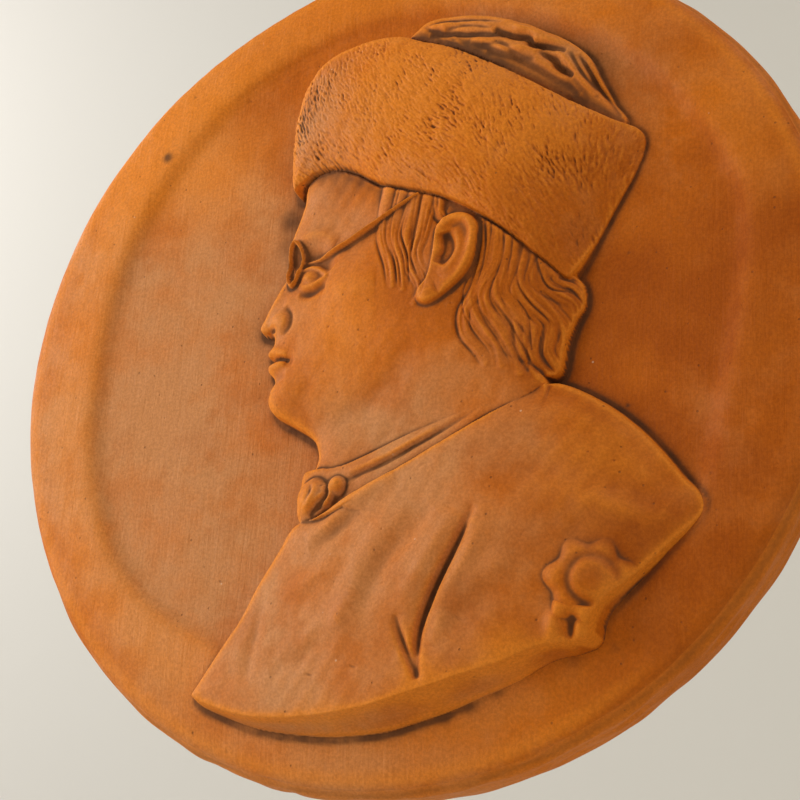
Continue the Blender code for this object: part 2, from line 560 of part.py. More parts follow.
def relief_mesh():
    """The relief as a closed body whose flat underside lies inside the plate."""
    half = int(PLATE_RADIUS / GRID_STEP)
    line = np.arange(-half, half + 1) * GRID_STEP
    across, up = np.meshgrid(line, line, indexing="ij")
    share = relief_height(across / FIGURE_UNIT, up / FIGURE_UNIT)
    form = bmesh.new()
    bmesh.ops.create_grid(form, x_segments=2 * half, y_segments=2 * half, size=half * GRID_STEP)
    form.verts.ensure_lookup_table()
    kept = share > SUNK + 0.001
    deep = []
    for vertex in form.verts:
        column = int(round(vertex.co.x / GRID_STEP)) + half
        row = int(round(vertex.co.y / GRID_STEP)) + half
        vertex.co.z = FIELD_HEIGHT + share[column, row] * RELIEF_HEIGHT
        near = kept[max(column - 1, 0) : column + 2, max(row - 1, 0) : row + 2]
        if not near.any():
            deep.append(vertex)
    bmesh.ops.delete(form, geom=deep, context="VERTS")
    top = list(form.faces)
    copy = bmesh.ops.duplicate(form, geom=list(form.verts) + list(form.edges) + top)
    under = [item for item in copy["geom"] if isinstance(item, bmesh.types.BMVert)]
    for vertex in under:
        vertex.co.z = FIELD_HEIGHT - RELIEF_ROOT
    bmesh.ops.reverse_faces(form, faces=[f for f in copy["geom"] if isinstance(f, bmesh.types.BMFace)])
    rims = [edge for edge in form.edges if edge.is_boundary]
    bmesh.ops.bridge_loops(form, edges=rims)
    bmesh.ops.recalc_face_normals(form, faces=form.faces)
    mesh = bpy.data.meshes.new("relief")
    form.to_mesh(mesh)
    form.free()
    return mesh


def clay():
    material = bpy.data.materials.new("clay")
    material.use_nodes = True
    shader = material.node_tree.nodes["Principled BSDF"]
    shader.inputs["Base Color"].default_value = CLAY_COLOUR
    shader.inputs["Roughness"].default_value = CLAY_ROUGHNESS
    shader.inputs["Metallic"].default_value = 0.0
    return material


def clear_scene():
    for existing in list(bpy.data.objects):
        bpy.data.objects.remove(existing)


def build():
    clear_scene()
    parts = bpy.data.collections.new("relief_roundel")
    helpers = bpy.data.collections.new("relief_roundel_helpers")
    for collection in (parts, helpers):
        bpy.context.scene.collection.children.link(collection)

    relief = add_object("relief", relief_mesh(), helpers)
    relief.hide_render = True
    relief.display_type = "WIRE"
    thin = relief.modifiers.new("thin", "DECIMATE")
    thin.ratio = RELIEF_TRIANGLES / sum(len(face.vertices) - 2 for face in relief.data.polygons)

    roundel = add_object("roundel", turned_plate(helpers), parts)
    join = roundel.modifiers.new("join_relief", "BOOLEAN")
    join.operation = "UNION"
    join.solver = "EXACT"
    join.object = relief
    roundel.data.materials.append(clay())
    roundel.data.shade_smooth()
    roundel.data.set_sharp_from_angle(angle=radians(SHARP_ANGLE))

    upright = Matrix.Rotation(radians(90), 4, Vector((1, 0, 0)))
    relief.matrix_world = upright
    roundel.matrix_world = upright


build()
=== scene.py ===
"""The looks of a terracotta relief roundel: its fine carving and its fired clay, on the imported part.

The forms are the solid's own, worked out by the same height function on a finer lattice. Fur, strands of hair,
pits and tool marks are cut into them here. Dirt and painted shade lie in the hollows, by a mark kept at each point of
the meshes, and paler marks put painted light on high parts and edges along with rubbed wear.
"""

from math import cos, pi, radians, sin

import bpy
import numpy as np
from mathutils import Matrix, Vector


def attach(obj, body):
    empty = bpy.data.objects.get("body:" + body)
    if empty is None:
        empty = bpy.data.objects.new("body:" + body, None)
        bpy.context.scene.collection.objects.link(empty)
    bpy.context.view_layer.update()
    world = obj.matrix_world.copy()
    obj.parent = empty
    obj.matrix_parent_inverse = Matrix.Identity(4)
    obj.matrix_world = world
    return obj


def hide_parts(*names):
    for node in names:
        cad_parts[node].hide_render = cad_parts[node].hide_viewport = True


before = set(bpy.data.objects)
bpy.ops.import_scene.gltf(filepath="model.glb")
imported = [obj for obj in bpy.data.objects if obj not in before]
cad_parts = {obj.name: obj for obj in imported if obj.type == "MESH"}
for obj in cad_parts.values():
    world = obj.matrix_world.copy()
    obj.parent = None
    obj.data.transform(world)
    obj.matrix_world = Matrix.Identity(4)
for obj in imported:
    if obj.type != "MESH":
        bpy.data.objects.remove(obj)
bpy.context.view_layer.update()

# Driving sizes of the plate, in metres
PLATE_RADIUS = 0.0575
LIP_HEIGHT = 0.0085
FIELD_DEPTH = 0.0012
BORDER_WIDTH = 0.0088
COVE_WIDTH = 0.0032
BORDER_FALL = 0.0007
EDGE_ROUND = 0.0017
LEDGE_WIDTH = 0.0006
BACK_BEVEL = 0.0007

# Driving sizes of the relief, in metres
RELIEF_HEIGHT = 0.0080

# The figure is drawn in hundredths of the plate's radius, with heights as shares of the relief's height.
FIGURE_SPAN = 100
FIGURE_UNIT = PLATE_RADIUS / FIGURE_SPAN
FIELD_HEIGHT = LIP_HEIGHT - FIELD_DEPTH
FIELD_RADIUS = PLATE_RADIUS - BORDER_WIDTH - COVE_WIDTH
SUNK = -0.20

# The cove between field and border, as (share of its width, share of the field's depth)
COVE_CURVE = ((0.0, 0.0), (0.25, 0.10), (0.5, 0.45), (0.75, 0.83), (1.0, 0.98))

# Shares of the border's width at which its profile has a point
BORDER_SHARES = (0.12, 0.5, 1.0)

# How far the hand-made edge of the field strays outwards from its circle, as (degrees, figure units)
FIELD_EDGE_STRAY = (
    (0, -3.2), (18, 1.4), (31, 0.8), (60, 0.0), (100, 1.6), (124, 0.5), (136, -0.8), (152, -2.4),
    (164, -4.2), (174, -5.0), (184, -5.2), (200, -3.2), (215, -1.4), (226, -2.2), (240, -5.0), (270, -3.0),
    (333, -1.1), (346, -4.2),
)


# Outlines of the carved forms, each a closed curve through these points

CAP_BAND = (
    (-25.4, 37.6), (-26.6, 42.5), (-27, 49.5), (-26.4, 57.5), (-24, 66), (-19, 72), (-9.5, 74.8),
    (-0.5, 74.4), (6, 71.5), (15.6, 67), (29.4, 58.6), (42.5, 50.2), (52, 45.4), (57.2, 43.4), (59, 40),
    (57.5, 34), (53, 25), (48.5, 16), (45, 9.8), (43, 8.3), (39, 11.5), (29, 19.6), (17.5, 27), (7, 31),
    (-0.7, 34), (-7.2, 38.2), (-13, 40.6), (-18.7, 41), (-22.8, 39.3),
)
CAP_CROWN = (
    (1.8, 71.4), (3.8, 76.3), (8.5, 78.2), (18.2, 77), (27.3, 74), (35, 70.4), (40.8, 66.8), (45.8, 62.4),
    (48.8, 56.2), (51.8, 50.4), (55, 45), (52, 40), (47, 40), (30, 49), (13.5, 59.3),
)
HEAD = (
    (-21.5, 41), (-23.2, 34), (-25.2, 28), (-26.6, 22.8), (-25.2, 18.4), (-27.6, 13), (-30.2, 8.4),
    (-32, 5.1), (-31.2, 3.2), (-28.2, 2.4), (-27.7, 0.2), (-28.9, -1.9), (-28.4, -3.3), (-27.2, -4),
    (-28.2, -5.1), (-28, -6.9), (-26.4, -9), (-26.9, -11.8), (-27, -14.6), (-25, -17.6), (-20.4, -20.2),
    (-15, -23.6), (-13, -27.4), (-12.5, -34), (4, -42), (35, -28), (41, -17), (36, -6), (37, 14), (34, 36),
    (5, 40), (-9, 46),
)
EAR = (
    (15.2, 17.4), (15.8, 21), (18.6, 23), (22.3, 23), (25.2, 20.6), (25.6, 16.6), (24.8, 12.2), (22.3, 8),
    (18.6, 5), (14.8, 3), (12.2, 3.8), (12, 6.2), (14, 9.5), (14.8, 14),
)
HAIR = (
    (24, 23.5), (25.3, 15.6), (24, 8), (21, 2.7), (21.5, -3.4), (24.5, -9), (32, -12.4), (39.3, -13.8),
    (42.7, -12.3), (43.7, -6.2), (45.3, -1), (47, 2.3), (47, 6.2), (45, 9.5), (35.3, 18.5),
)
NECKCLOTH = (
    (-16, -32), (-13, -30.4), (-4, -30), (12, -24), (25.2, -18.6), (34, -14), (38.4, -18.2), (28.6, -24.6),
    (6, -37), (-7, -42.6), (-13.6, -42.4), (-16.4, -38),
)
COAT = (
    (-16, -43), (-20.5, -49.4), (-25, -56.6), (-28.4, -63), (-33, -70), (-37, -76.6), (-38.8, -80),
    (-37, -82), (-32, -84), (-22.4, -86.8), (-12.5, -88), (-2.7, -88.2), (7.2, -87.2), (14, -85.4),
    (22, -82.8), (29, -80), (36.7, -76.8), (43.6, -73), (49.4, -71.6), (53.6, -69.4), (55.6, -63),
    (65.3, -52.8), (74, -42.7), (68.8, -35), (61.2, -26.2), (52.3, -19), (42, -14.2), (35.8, -17.6),
    (28.8, -21.5), (18.7, -27.5), (6.8, -33.6), (-1.4, -37.5), (-8.8, -41.4),
)

# Heights at spots on each form, as (across, up, share of the relief's height)

CAP_BAND_SPOTS = (
    (-24, 44, 0.56), (-24, 60, 0.62), (-8, 56, 0.86), (-9, 72, 0.64), (7, 48, 0.97), (18, 60, 0.88),
    (22, 40, 1.0), (36, 44, 0.82), (38, 26, 0.72), (49, 38, 0.42), (44, 17, 0.34), (55.6, 34, 0.11),
    (-14, 43, 0.76), (57, 41, 0.12), (49.4, 20, 0.13), (39, 17, 0.66),
)
CAP_CROWN_SPOTS = (
    (6, 73, 0.50), (18, 74, 0.56), (33, 68, 0.58), (45, 57, 0.38), (53, 46, 0.18), (30, 56, 0.62),
)
HEAD_SPOTS = (
    (-14, 32, 0.52), (-2, 32, 0.66), (-3, 24, 0.64), (-8, 9, 0.66), (-3, -3, 0.69), (5, -10, 0.68),
    (13, -2, 0.75), (11, 10, 0.76), (19, 12, 0.78), (0, -27, 0.48), (15, -18, 0.62), (33, -14, 0.58),
    (34, 6, 0.66), (-20, -13, 0.52), (-21, -3, 0.48), (-25, 6, 0.42), (-18, 17, 0.46), (-10, -18, 0.54),
    (5, 38, 0.70),
)
HAIR_SPOTS = (
    (26, 18, 0.74), (25, -6, 0.70), (34, 5, 0.64), (33, -9, 0.58), (43.6, 0, 0.26), (42, -12, 0.26),
    (43, 8, 0.28), (36, 14, 0.56),
)
NECKCLOTH_SPOTS = (
    (-14, -36, 0.38), (-13, -41, 0.36), (-3, -34, 0.54), (11, -29, 0.61), (25, -22, 0.60), (35, -17, 0.50),
)
COAT_SPOTS = (
    (-18, -52, 0.52), (-11, -45, 0.62), (-31, -73, 0.48), (-25, -79, 0.56), (-9, -62, 0.70),
    (-4, -80, 0.76), (1, -45, 0.72), (15, -36, 0.80), (12, -62, 0.86), (16, -78, 0.84), (31, -28, 0.72),
    (34, -48, 0.90), (35, -68, 0.80), (49, -32, 0.62), (54, -47, 0.64), (62, -40, 0.40), (71, -44, 0.22),
    (74, -42, 0.17), (57, -56, 0.50), (44, -19, 0.42), (60, -30, 0.28),
)

# Locks of hair from root to tip, each with its half width at the root

LOCKS = (
    (2.6, ((3.1, 33.4), (1.9, 27.1), (1.7, 20.8), (4, 14.2), (5.3, 8.3))),
    (3.0, ((6.4, 32.6), (5.2, 26.9), (4.2, 20.9), (6.7, 14.1), (8, 7.3))),
    (3.2, ((9.8, 32), (8.6, 25.8), (7.4, 19.2), (9.4, 12.7), (12, 7.7), (11.1, 3.6))),
    (3.0, ((13.3, 31), (12.3, 25.3), (11.3, 19.6), (10.4, 15), (12.6, 9.3))),
    (2.6, ((15.3, 29.7), (15.4, 25.8), (16, 23.8), (17.6, 21.7))),
    (3.2, ((26.9, 26.9), (27.5, 21.1), (27.9, 14), (25.9, 5.4), (23, 0.7), (23.1, -3.9), (25.9, -7.8),
           (27.9, -11.1))),
    (3.4, ((28.3, 25.8), (29, 18.1), (28.7, 11.1), (25, 4.6), (26.3, -1.4), (30.3, -7.5), (31.2, -11.8))),
    (3.4, ((29.3, 24.7), (30.1, 19.4), (29.2, 11.1), (27.4, 3), (31.5, -4.2), (34.5, -9.9), (35.1, -13.5))),
    (3.6, ((31.5, 22.3), (32.4, 17), (31.7, 9.7), (30.9, 3.8), (34.6, -1.4), (35.6, -7.9), (39, -14))),
    (3.4, ((33.1, 20.9), (33.7, 14.8), (33.2, 8.1), (34.2, 2.3), (38.3, -4.4), (38.4, -9.3), (41.2, -13.5))),
    (3.4, ((34.4, 19.6), (35.2, 13.4), (34.4, 7.1), (37.1, 2), (40.7, -2.2), (40.1, -8.2), (43.4, -13.1))),
    (3.0, ((36.6, 17.3), (37.3, 11.8), (36.7, 5.7), (40.5, 1.1), (43.4, -2.8), (44.1, -9))),
    (3.0, ((38.5, 14.4), (38.9, 10.1), (39.1, 6.9), (42.1, 4.7), (45.1, 2.6), (45.7, -2.4))),
    (3.0, ((39.5, 13.1), (40.3, 10.2), (41.3, 7.3), (44.5, 6.5), (47, 3.3))),
)
LOCK_RISE = 0.08
LOCK_TIP_SHARE = 0.3
LOCK_END_FALL = 0.8

# Ridges and furrows, as (rise, half width, route), with a furrow's rise below zero

EAR_RISE = 0.09
EAR_RIDGES = (
    (0.09, 1.5, ((16.6, 13.6), (16.2, 18.8), (19.2, 21.6), (22.8, 21.4), (24.6, 18.4), (24.2, 13.6),
                 (21.6, 8.6), (17, 5.4))),
    (0.05, 1.4, ((20, 19.6), (21.4, 15.4), (20, 11.4), (17.4, 8.6))),
    (-0.16, 1.5, ((17.8, 18.8), (18.8, 15), (17, 11.4))),
    (0.05, 2.0, ((16.4, 6.2), (12.6, 4.4))),
)
FACE_RIDGES = (
    (0.07, 1.7, ((-25.4, 22.4), (-21, 24.6), (-15.6, 24.6), (-11.4, 21.8))),
    (-0.12, 2.4, ((-23.6, 18.4), (-20, 19.6), (-15.4, 18.6), (-12, 15))),
    (0.07, 0.7, ((-21.2, 14.5), (-19.6, 16.8), (-16.6, 16.9), (-12.6, 14.2))),
    (0.05, 0.75, ((-20.8, 13.4), (-18.8, 12), (-15.8, 12.4), (-12.6, 14.2))),
    (-0.05, 1.0, ((-20.4, 10.4), (-16.6, 10.2), (-12.8, 11.8))),
    (0.05, 1.8, ((-25, 17.6), (-27.2, 12.6), (-30.6, 6.8))),
    (-0.06, 0.9, ((-24, 8.4), (-22.4, 6.2), (-22.5, 3.6), (-24.2, 1.7))),
    (-0.09, 0.55, ((-29.4, 3), (-27.8, 3.5), (-26.4, 3))),
    (-0.11, 0.55, ((-28.8, -3.8), (-26.2, -4), (-23.8, -4.3), (-21.2, -5.2))),
    (0.05, 1.2, ((-28.6, -2.4), (-25.6, -2.4), (-22, -3.7))),
    (0.06, 1.3, ((-28.4, -5.9), (-25.6, -6.1), (-22.2, -5.9))),
    (-0.05, 1.5, ((-27.4, -9.3), (-24.6, -9.3), (-21.6, -8.6))),
    (0.05, 3.6, ((-13, 11.6), (-6, 9.4), (1, 9.6))),
    (-0.05, 3.2, ((-17, -22.4), (-5, -20.6), (6, -13.6), (12.4, -3.6))),
)
FACE_LUMPS = (
    (-18.1, 14.5, 3.0, 0.08), (-25.4, 4.6, 3.8, 0.07), (-21, -5.3, 2.0, -0.04), (-22.4, -14, 8.0, 0.07),
)
SPECTACLE_RIDGES = (
    (0.13, 0.62, ((-22.6, 24), (-24.1, 22.2), (-24.6, 18.6), (-24.1, 15), (-22.6, 13.2), (-21.1, 15),
                  (-20.6, 18.6), (-21.1, 22.2), (-22.6, 24))),
    (0.15, 0.7, ((-21, 18.9), (-15, 19.2), (-7.8, 20.8), (1.3, 25), (12.2, 30.6), (17, 33.2))),
)
NECKCLOTH_RIDGES = (
    (-0.06, 0.8, ((-5, -34.8), (5, -31.6), (16, -26.4), (27, -20.6))),
    (0.04, 1.0, ((-3, -33), (7, -29.8), (18, -24.6))),
)
COAT_RIDGES = (
    (-0.15, 0.95, ((28.8, -42.6), (26, -49), (21.8, -57.2), (18.8, -64.9), (17.8, -70.6), (18.6, -78))),
    (-0.07, 3.2, ((27.4, -46), (22.8, -55.6), (19.4, -64.9), (18.4, -73))),
    (-0.09, 0.8, ((12.8, -64.6), (14, -68.3), (16.2, -73), (18.4, -77.6))),
    (0.07, 2.6, ((31.6, -43), (28.2, -52.4), (23.6, -61), (21, -71))),
    (0.06, 3.0, ((24.4, -43.4), (20.7, -51.5), (16.3, -59.1), (13.6, -64))),
    (-0.07, 2.4, ((19, -42), (13.5, -48.2), (8.7, -54), (5.8, -60.1), (4.9, -65))),
    (0.05, 3.2, ((13, -41), (6.8, -47.7), (2.9, -55.3), (0.7, -64.9), (-1, -73))),
    (0.08, 2.2, ((9.4, -34.4), (-0.9, -40), (-6, -44.6), (-11, -48))),
    (-0.06, 2.0, ((2, -42), (-3.7, -46.1), (-10, -49.4))),
    (0.04, 2.0, ((-1.6, -52.6), (-9.9, -57), (-16.2, -59.8))),
    (-0.04, 1.6, ((-20.8, -59.6), (-22.3, -68.2), (-23, -78))),
    (0.05, 2.6, ((2.4, -62.6), (-6.1, -69), (-14.4, -74))),
    (-0.05, 2.4, ((-0.4, -65.6), (-8, -71.7), (-16.4, -76))),
    (-0.05, 2.6, ((35, -56.6), (29.3, -62.6), (25, -69.4))),
    (0.05, 2.6, ((37, -52.6), (30.7, -59.1), (26.4, -65.2))),
    (0.05, 3.6, ((14.4, -32), (29.7, -25.6), (43.1, -22.6), (54.6, -27), (66, -36.4))),
    (-0.05, 3.6, ((29.7, -37), (43, -35.2), (54.6, -37.4), (66, -43.4))),
    (0.04, 2.6, ((48.8, -40.6), (60, -43.8), (71, -46))),
)
CROWN_RIDGES = (
    (-0.08, 0.8, ((8, 72.2), (14, 71.4), (17.9, 70.3), (22.7, 69.2), (27.6, 68))),
    (0.05, 1.0, ((8, 74.6), (14, 73.8), (20, 72.4), (24, 71.2))),
    (-0.07, 0.8, ((5, 75.6), (11, 76), (17, 74.8), (23, 73.4), (27, 72.4))),
    (-0.05, 0.6, ((12, 73), (18, 72.8), (24, 70.6))),
    (-0.18, 0.9, ((24.8, 70.2), (28.8, 67.9), (32.4, 66.8), (34, 65), (37.4, 64), (41.6, 62.4))),
    (0.06, 1.0, ((26, 72.6), (30, 70.2), (34, 68.6), (38, 66), (42, 64.4))),
    (-0.06, 0.7, ((28, 73.6), (31.6, 70.6), (36, 69), (40.4, 65.6))),
    (0.05, 0.9, ((19, 68.4), (24, 66.8), (28, 64.4), (33, 63.6), (36.6, 61.6))),
    (-0.05, 0.7, ((22, 66.6), (27, 65.6), (31, 62.2), (35, 60.6))),
    (-0.17, 0.9, ((35.4, 63), (38.7, 60.7), (40, 58.8), (43.6, 56.2))),
    (0.05, 0.8, ((38.6, 63.2), (42, 60), (44.2, 56), (48.4, 51.4))),
    (-0.05, 0.6, ((42.4, 62.6), (44, 58.6), (47, 54), (49, 50.4))),
    (-0.06, 1.0, ((23.3, 64.2), (27.2, 63.2), (33, 60), (39.4, 55.6), (45, 51.6))),
    (-0.10, 0.7, ((44.2, 61.6), (46.1, 58.2), (48.5, 53.5), (51.5, 49.7), (53.8, 46))),
    (0.08, 0.8, ((45, 63), (47.8, 58.4), (50.4, 53.2), (53.4, 48.6), (55.4, 45))),
)

# How each form rounds over at its outline, as (reach inwards, share of the height left at the outline)

HEAD_ROUNDING = (8, 0.45)
HAIR_ROUNDING = (6, 0.75)
NECKCLOTH_ROUNDING = (4, 0.78)
COAT_ROUNDING = (8, 0.64)
CROWN_ROUNDING = (4, 0.50)

# The step where one form lies over another is this wide, in figure units. Locks of hair and spectacles fade
# in up to this share of the relief's height.

SOFT_STEP = 1.2
CLEAR_RISE = 0.25

# The cap's band rounds over less at the back than over the brow, as (across, share of the height left)

CAP_REACH = 9
CAP_BROW_EDGE = (0, 0.62)
CAP_BACK_EDGE = (46, 0.85)

# How the coat is cut off below: the cut face is widest under the slit and narrows to both tips

CUT_MIDDLE = 12
CUT_REACH = 34
CUT_TOP = -60
CUT_FADE = 14
CUT_WIDTH = 3.4
CUT_FOOT = 0.15
WALL_WIDTH = 1.0

# The coat's edge keeps this share of its height along the cut, and where it rests on neck and neckcloth,
# which it does from this share of the relief's height up.

CUT_EDGE = 0.96
COLLAR_REST = 0.35

# The knot of the neckcloth: swellings as (across, up, radius, rise), on a foot at this height, and furrows

KNOT_LUMPS = (
    (-10.9, -37.8, 5.8, 0.24), (-12, -41, 4.4, 0.12), (-5.4, -35.6, 4.0, 0.24), (-7.6, -38.8, 2.4, 0.10),
)
KNOT_FOOT = 0.42
KNOT_EDGE = 0.02
KNOT_FURROWS = (
    (-0.10, 0.6, ((-8.4, -33), (-7.7, -35.6), (-7.6, -37.6), (-8.9, -39.6), (-11.4, -42.2))),
    (-0.04, 0.6, ((-12.2, -34.8), (-11.4, -37), (-12, -40))),
)

# The rosette on the coat: a boss in a ring of lobes, each lobe row as (count, share of the radius, turn in
# degrees), the ring's furrow as (share of the radius, width, depth), and its fading as (degrees, share lost)

ROSETTE_CENTRE = (53.2, -57.9)
ROSETTE_RADIUS = 8.4
ROSETTE_RISE = 0.15
ROSETTE_LOBES = (7, 0.10, 20)
ROSETTE_SWELL = (1, 0.10, 215)
ROSETTE_RING = (0.56, 0.15, 0.46)
ROSETTE_FADE = (45, 0.75)
ROSETTE_TAILS = (
    (0.10, 1.9, ((47.4, -62.6), (46.2, -66), (45.4, -70))),
    (0.10, 1.8, ((51.6, -63), (51.4, -66.6), (51.2, -70.4))),
    (-0.05, 0.8, ((49.6, -64.6), (49, -67.6), (48.6, -70.4))),
)

# The lattices over the figure and over the cap's band, in figure units, as left, bottom, right, top
FIGURE_BOX = (-42.0, -91.0, 77.0, 82.0)
FIGURE_STEP = 0.23
BAND_BOX = (-30.0, 5.0, 62.0, 78.0)
BAND_STEP = 0.18
FOOT_DEPTH = -1.6

# Fur: layers of strokes, as (spacing, lengths, half widths, depths), all in figure units
FUR_SEED = 11
FUR_LAYERS = (
    (3.0, (4.0, 8.0), (0.7, 1.2), (-0.07, 0.10)),
    (1.05, (1.6, 3.6), (0.20, 0.28), (0.03, 0.13)),
    (0.58, (1.2, 2.6), (0.17, 0.22), (0.04, 0.16)),
)
# The way the fur lies, as (across, up, degrees)
FUR_ANGLES = (
    (-25, 60, -72), (-24, 46, -50), (-16, 70, -68), (-6, 58, -60), (4, 72, -60), (5, 48, -58), (16, 64, -56),
    (15, 48, -42), (22, 40, -52), (28, 46, -74), (36, 52, -60), (46, 44, -80), (42, 30, -66), (52, 34, -98),
    (44, 14, -70), (30, 28, -58),
)
# Where the strokes are deeper, as (across, up, radius, amount)
FUR_THICK = (
    (16, 46, 7, 0.4), (20, 67, 6, 0.35), (32, 59, 6, 0.35), (-25, 54, 6, 0.5), (-10, 66, 8, 0.25),
    (28, 45, 6, 0.3), (38, 34, 6, 0.4), (-22, 66, 6, 0.4), (12, 55, 7, 0.25), (-12, 42, 4, 0.5), (-20, 43, 5, 0.5),
    (0, 36, 5, 0.3), (48, 30, 9, 0.25), (46, 44, 9, 0.2),
)

# How far what lies under the band stays below it, as a share of the relief's height
UNDER_BAND = 0.03

# The spectacles' wire is this share of its width in the solid
SPECTACLES_FINER = 0.7

# Strands of hair
HAIR_SEED = 5
STRANDS_A_LOCK = 16
STRAND_WIDTH = 0.27
STRAND_DEPTHS = (0.06, 0.25)

# Pits and dents
PIT_SEED = 21
FIGURE_PITS = 120
PLATE_PITS = 120
COAT_DENTS = ((-31, -63.5, -30), (-36, -72.8, -20), (-25.8, -53.2, -35), (4, -75, -15), (-6.6, -76.4, -15))

# Small creases, as (box, count, angles, lengths, half widths, depths): the crown, the neckcloth and the knot
CREASES = (
    ((6, 64, 46, 77), 110, (-50, -15), (3, 9), (0.35, 0.8), (-0.18, 0.26)),
    ((38, 48, 54, 64), 40, (-72, -52), (3, 9), (0.3, 0.7), (-0.14, 0.22)),
    ((-6, -35, 24, -24), 16, (22, 36), (5, 12), (0.3, 0.6), (-0.06, 0.10)),
    ((-15, -41, -6, -33), 12, (20, 70), (1.5, 4), (0.25, 0.4), (0.04, 0.15)),
)

# Clay tones from orange to grey brown, as (across, up, radius, amount)
TONE_SEED = 3
WAVER_SEED = 31
TONES = (
    (-58, 0, 42, 0.74), (-52, -52, 34, 0.68), (-20, -72, 26, 0.48), (8, -50, 30, 0.34), (10, -24, 18, 0.42),
    (34, -44, 26, 0.30), (-40, 40, 24, 0.40), (-16, 32, 10, 0.22), (-25, 54, 10, 0.60), (-60, 60, 20, 0.25),
    (0, -96, 26, 0.35), (26, 74, 14, 0.6), (46, 62, 9, 0.5), (-90, -20, 22, 0.45), (-82, 36, 22, 0.35),
)
# Where the clay is deeper and browner, partly as painted shade: on the dimmer right side, on the coat's cut wall below
# its right tip and on the border's outer rounding at the lower right
BROWNS_AND_SHADE = (
    (66, 10, 34, 0.55), (62, 58, 12, 0.45), (60, -30, 22, 0.45), (84, -40, 26, 0.6), (92, 12, 24, 0.6),
    (76, -56, 8, 0.5), (66, -68, 10, 0.5), (62, -50, 8, 0.5),
    (44, -10, 12, 0.30), (24, 4, 12, 0.25), (40, -66, 18, 0.30), (-44, 66, 18, 0.30), (-30, 20, 9, 0.25),
)
# Spots of dirt and painted shade, as (across, up, radius, amount), lighter where the amount is below zero; the painted
# shade lies under the cap's brim and on the coat's cut wall below its right tip
DIRT_AND_SHADE_SPOTS = (
    (30, 70, 13, 0.8), (12, 75, 8, 0.5), (-28, 57, 9, 2.3), (-22, 17, 6, 0.8), (-12, 36, 9, 0.7), (-12, -38, 8, 0.7),
    (40, -10, 6, 0.5), (46, 60, 9, 0.7), (50, -60, 10, 0.4), (23, -57, 8, -0.8), (18, -70, 6, -0.8), (28, -46, 5, -0.8),
    (62, -49, 8, 0.45), (-13, -30, 4, 0.8),
)
PLATE_STAINS = (
    (-65.3, 54.8, 1.5, 0.9), (-28.4, 33, 3.4, 0.55), (-29, 26, 3.4, 0.35), (-36, 8, 8, 0.15), (20.8, -83.4, 1.6, 0.4), (26.2, -81.3, 2.0, 0.4),
    (32, -78.4, 1.6, 0.45), (37, -75.6, 2.4, 0.15), (47.6, -72.4, 2.2, 0.35), (56, -70, 1.3, 0.3),
)
# The reaches over which hollows are found. The hollows darken with dirt and painted shade, near and wide, and less so
# on the fur and the crown
HOLLOW_REACHES = (0.55, 1.6)
DIRT_AND_SHADE_NEAR = 2.9
DIRT_AND_SHADE_WIDE = 0.40
# Painted shadow with dirt just below the cap's band, fading over this reach
BRIM_DIRT_AND_SHADOW = 0.62
BRIM_REACH = 2.6
FUR_LESS_DARKENED = 0.35
CROWN_LESS_DARKENED = 0.45
CROWN_DUST = 0.22
# Dirt and painted shade on the field at the foot of the relief, with spots where it is stronger and spots where it is
# left out, as (across, up, radius, amount)
FOOT_DIRT_AND_SHADE = 0.40
FOOT_DIRT_AND_SHADE_SPOTS = (
    (-30, 34, 9, 1.8), (-31, 16, 7, 1.4), (-32, 54, 12, 1.5), (-35, 0, 8, 1.2), (-20, -24, 10, 0.8),
    (-24, -48, 12, 0.8),
)
FOOT_UNDARKENED = ((34, -80, 13, 0.75), (52, -74, 14, 0.9), (76, -52, 14, 0.8), (60, 30, 22, 0.3))
# A darker line round the outer edge of the rim
RIM_DARK_LINE = 0.35
# How much paler the border is than the field, and the side and back all over as painted bounce light. Spots over the
# plate, as (across, up, radius, amount): painted light at the upper left, and painted shade on the right below zero
BORDER_PALER = 0.5
SIDE_LIT = 0.45
PLATE_LIT_AND_SHADED = (
    (-50, 50, 22, 0.5), (-74, 58, 20, 0.5), (70, -66, 16, -0.6),
    (88, -36, 20, -0.7), (92, 10, 22, -0.4), (60, 62, 18, -0.3),
)
# Paler spots on the cap, the cheek, the shoulder and the coat's cut face, as (across, up, radius, amount): painted
# light on parts that catch the light, with rubbed wear
RUBBED_AND_LIT_SPOTS = (
    (8, 56, 20, 0.9), (36, 42, 16, 0.6), (-8, 4, 13, 0.5), (-6, -12, 12, 0.3), (54, -34, 15, 0.5),
    (36, -72, 7, 0.6), (20, -79, 7, 0.6), (-2, -86, 9, 0.4),
)

# Clay colours, as linear colour
CLAY_ORANGE = (0.66, 0.168, 0.008, 1.0)
CLAY_DUSTY = (0.63, 0.265, 0.092, 1.0)
# Also paints shade
CLAY_BROWN_AND_SHADE = (0.43, 0.093, 0.003, 1.0)
# Also paints light on high parts and edges
CLAY_RUBBED_AND_LIT = (0.88, 0.28, 0.022, 1.0)
# Also paints shade in the hollows
CLAY_DIRT_AND_SHADE = (0.075, 0.036, 0.020, 1.0)
CLAY_CRUMB = (0.72, 0.55, 0.38, 1.0)
GRAIN_DEPTH = 0.00008

# The plate's mesh
RING_STEP = 0.0003
PROFILE_SMOOTHING = 4
BACK_RINGS = 16
PLATE_ANGLES = 1000
SPLIT_SHARE = 0.80
FIELD_START = 0.22

# Fine lines along the border, as (degrees, half span in degrees, radius, lean, depth), in figure units
BORDER_LINES = (
    (113, 13, 79.2, 0, -0.22), (115, 11, 81.6, 0.6, 0.16), (226, 14, 88.6, -6, 0.16), (228, 15, 80.6, -1.5, 0.20),
)
BORDER_LINE_WIDTH = 0.42

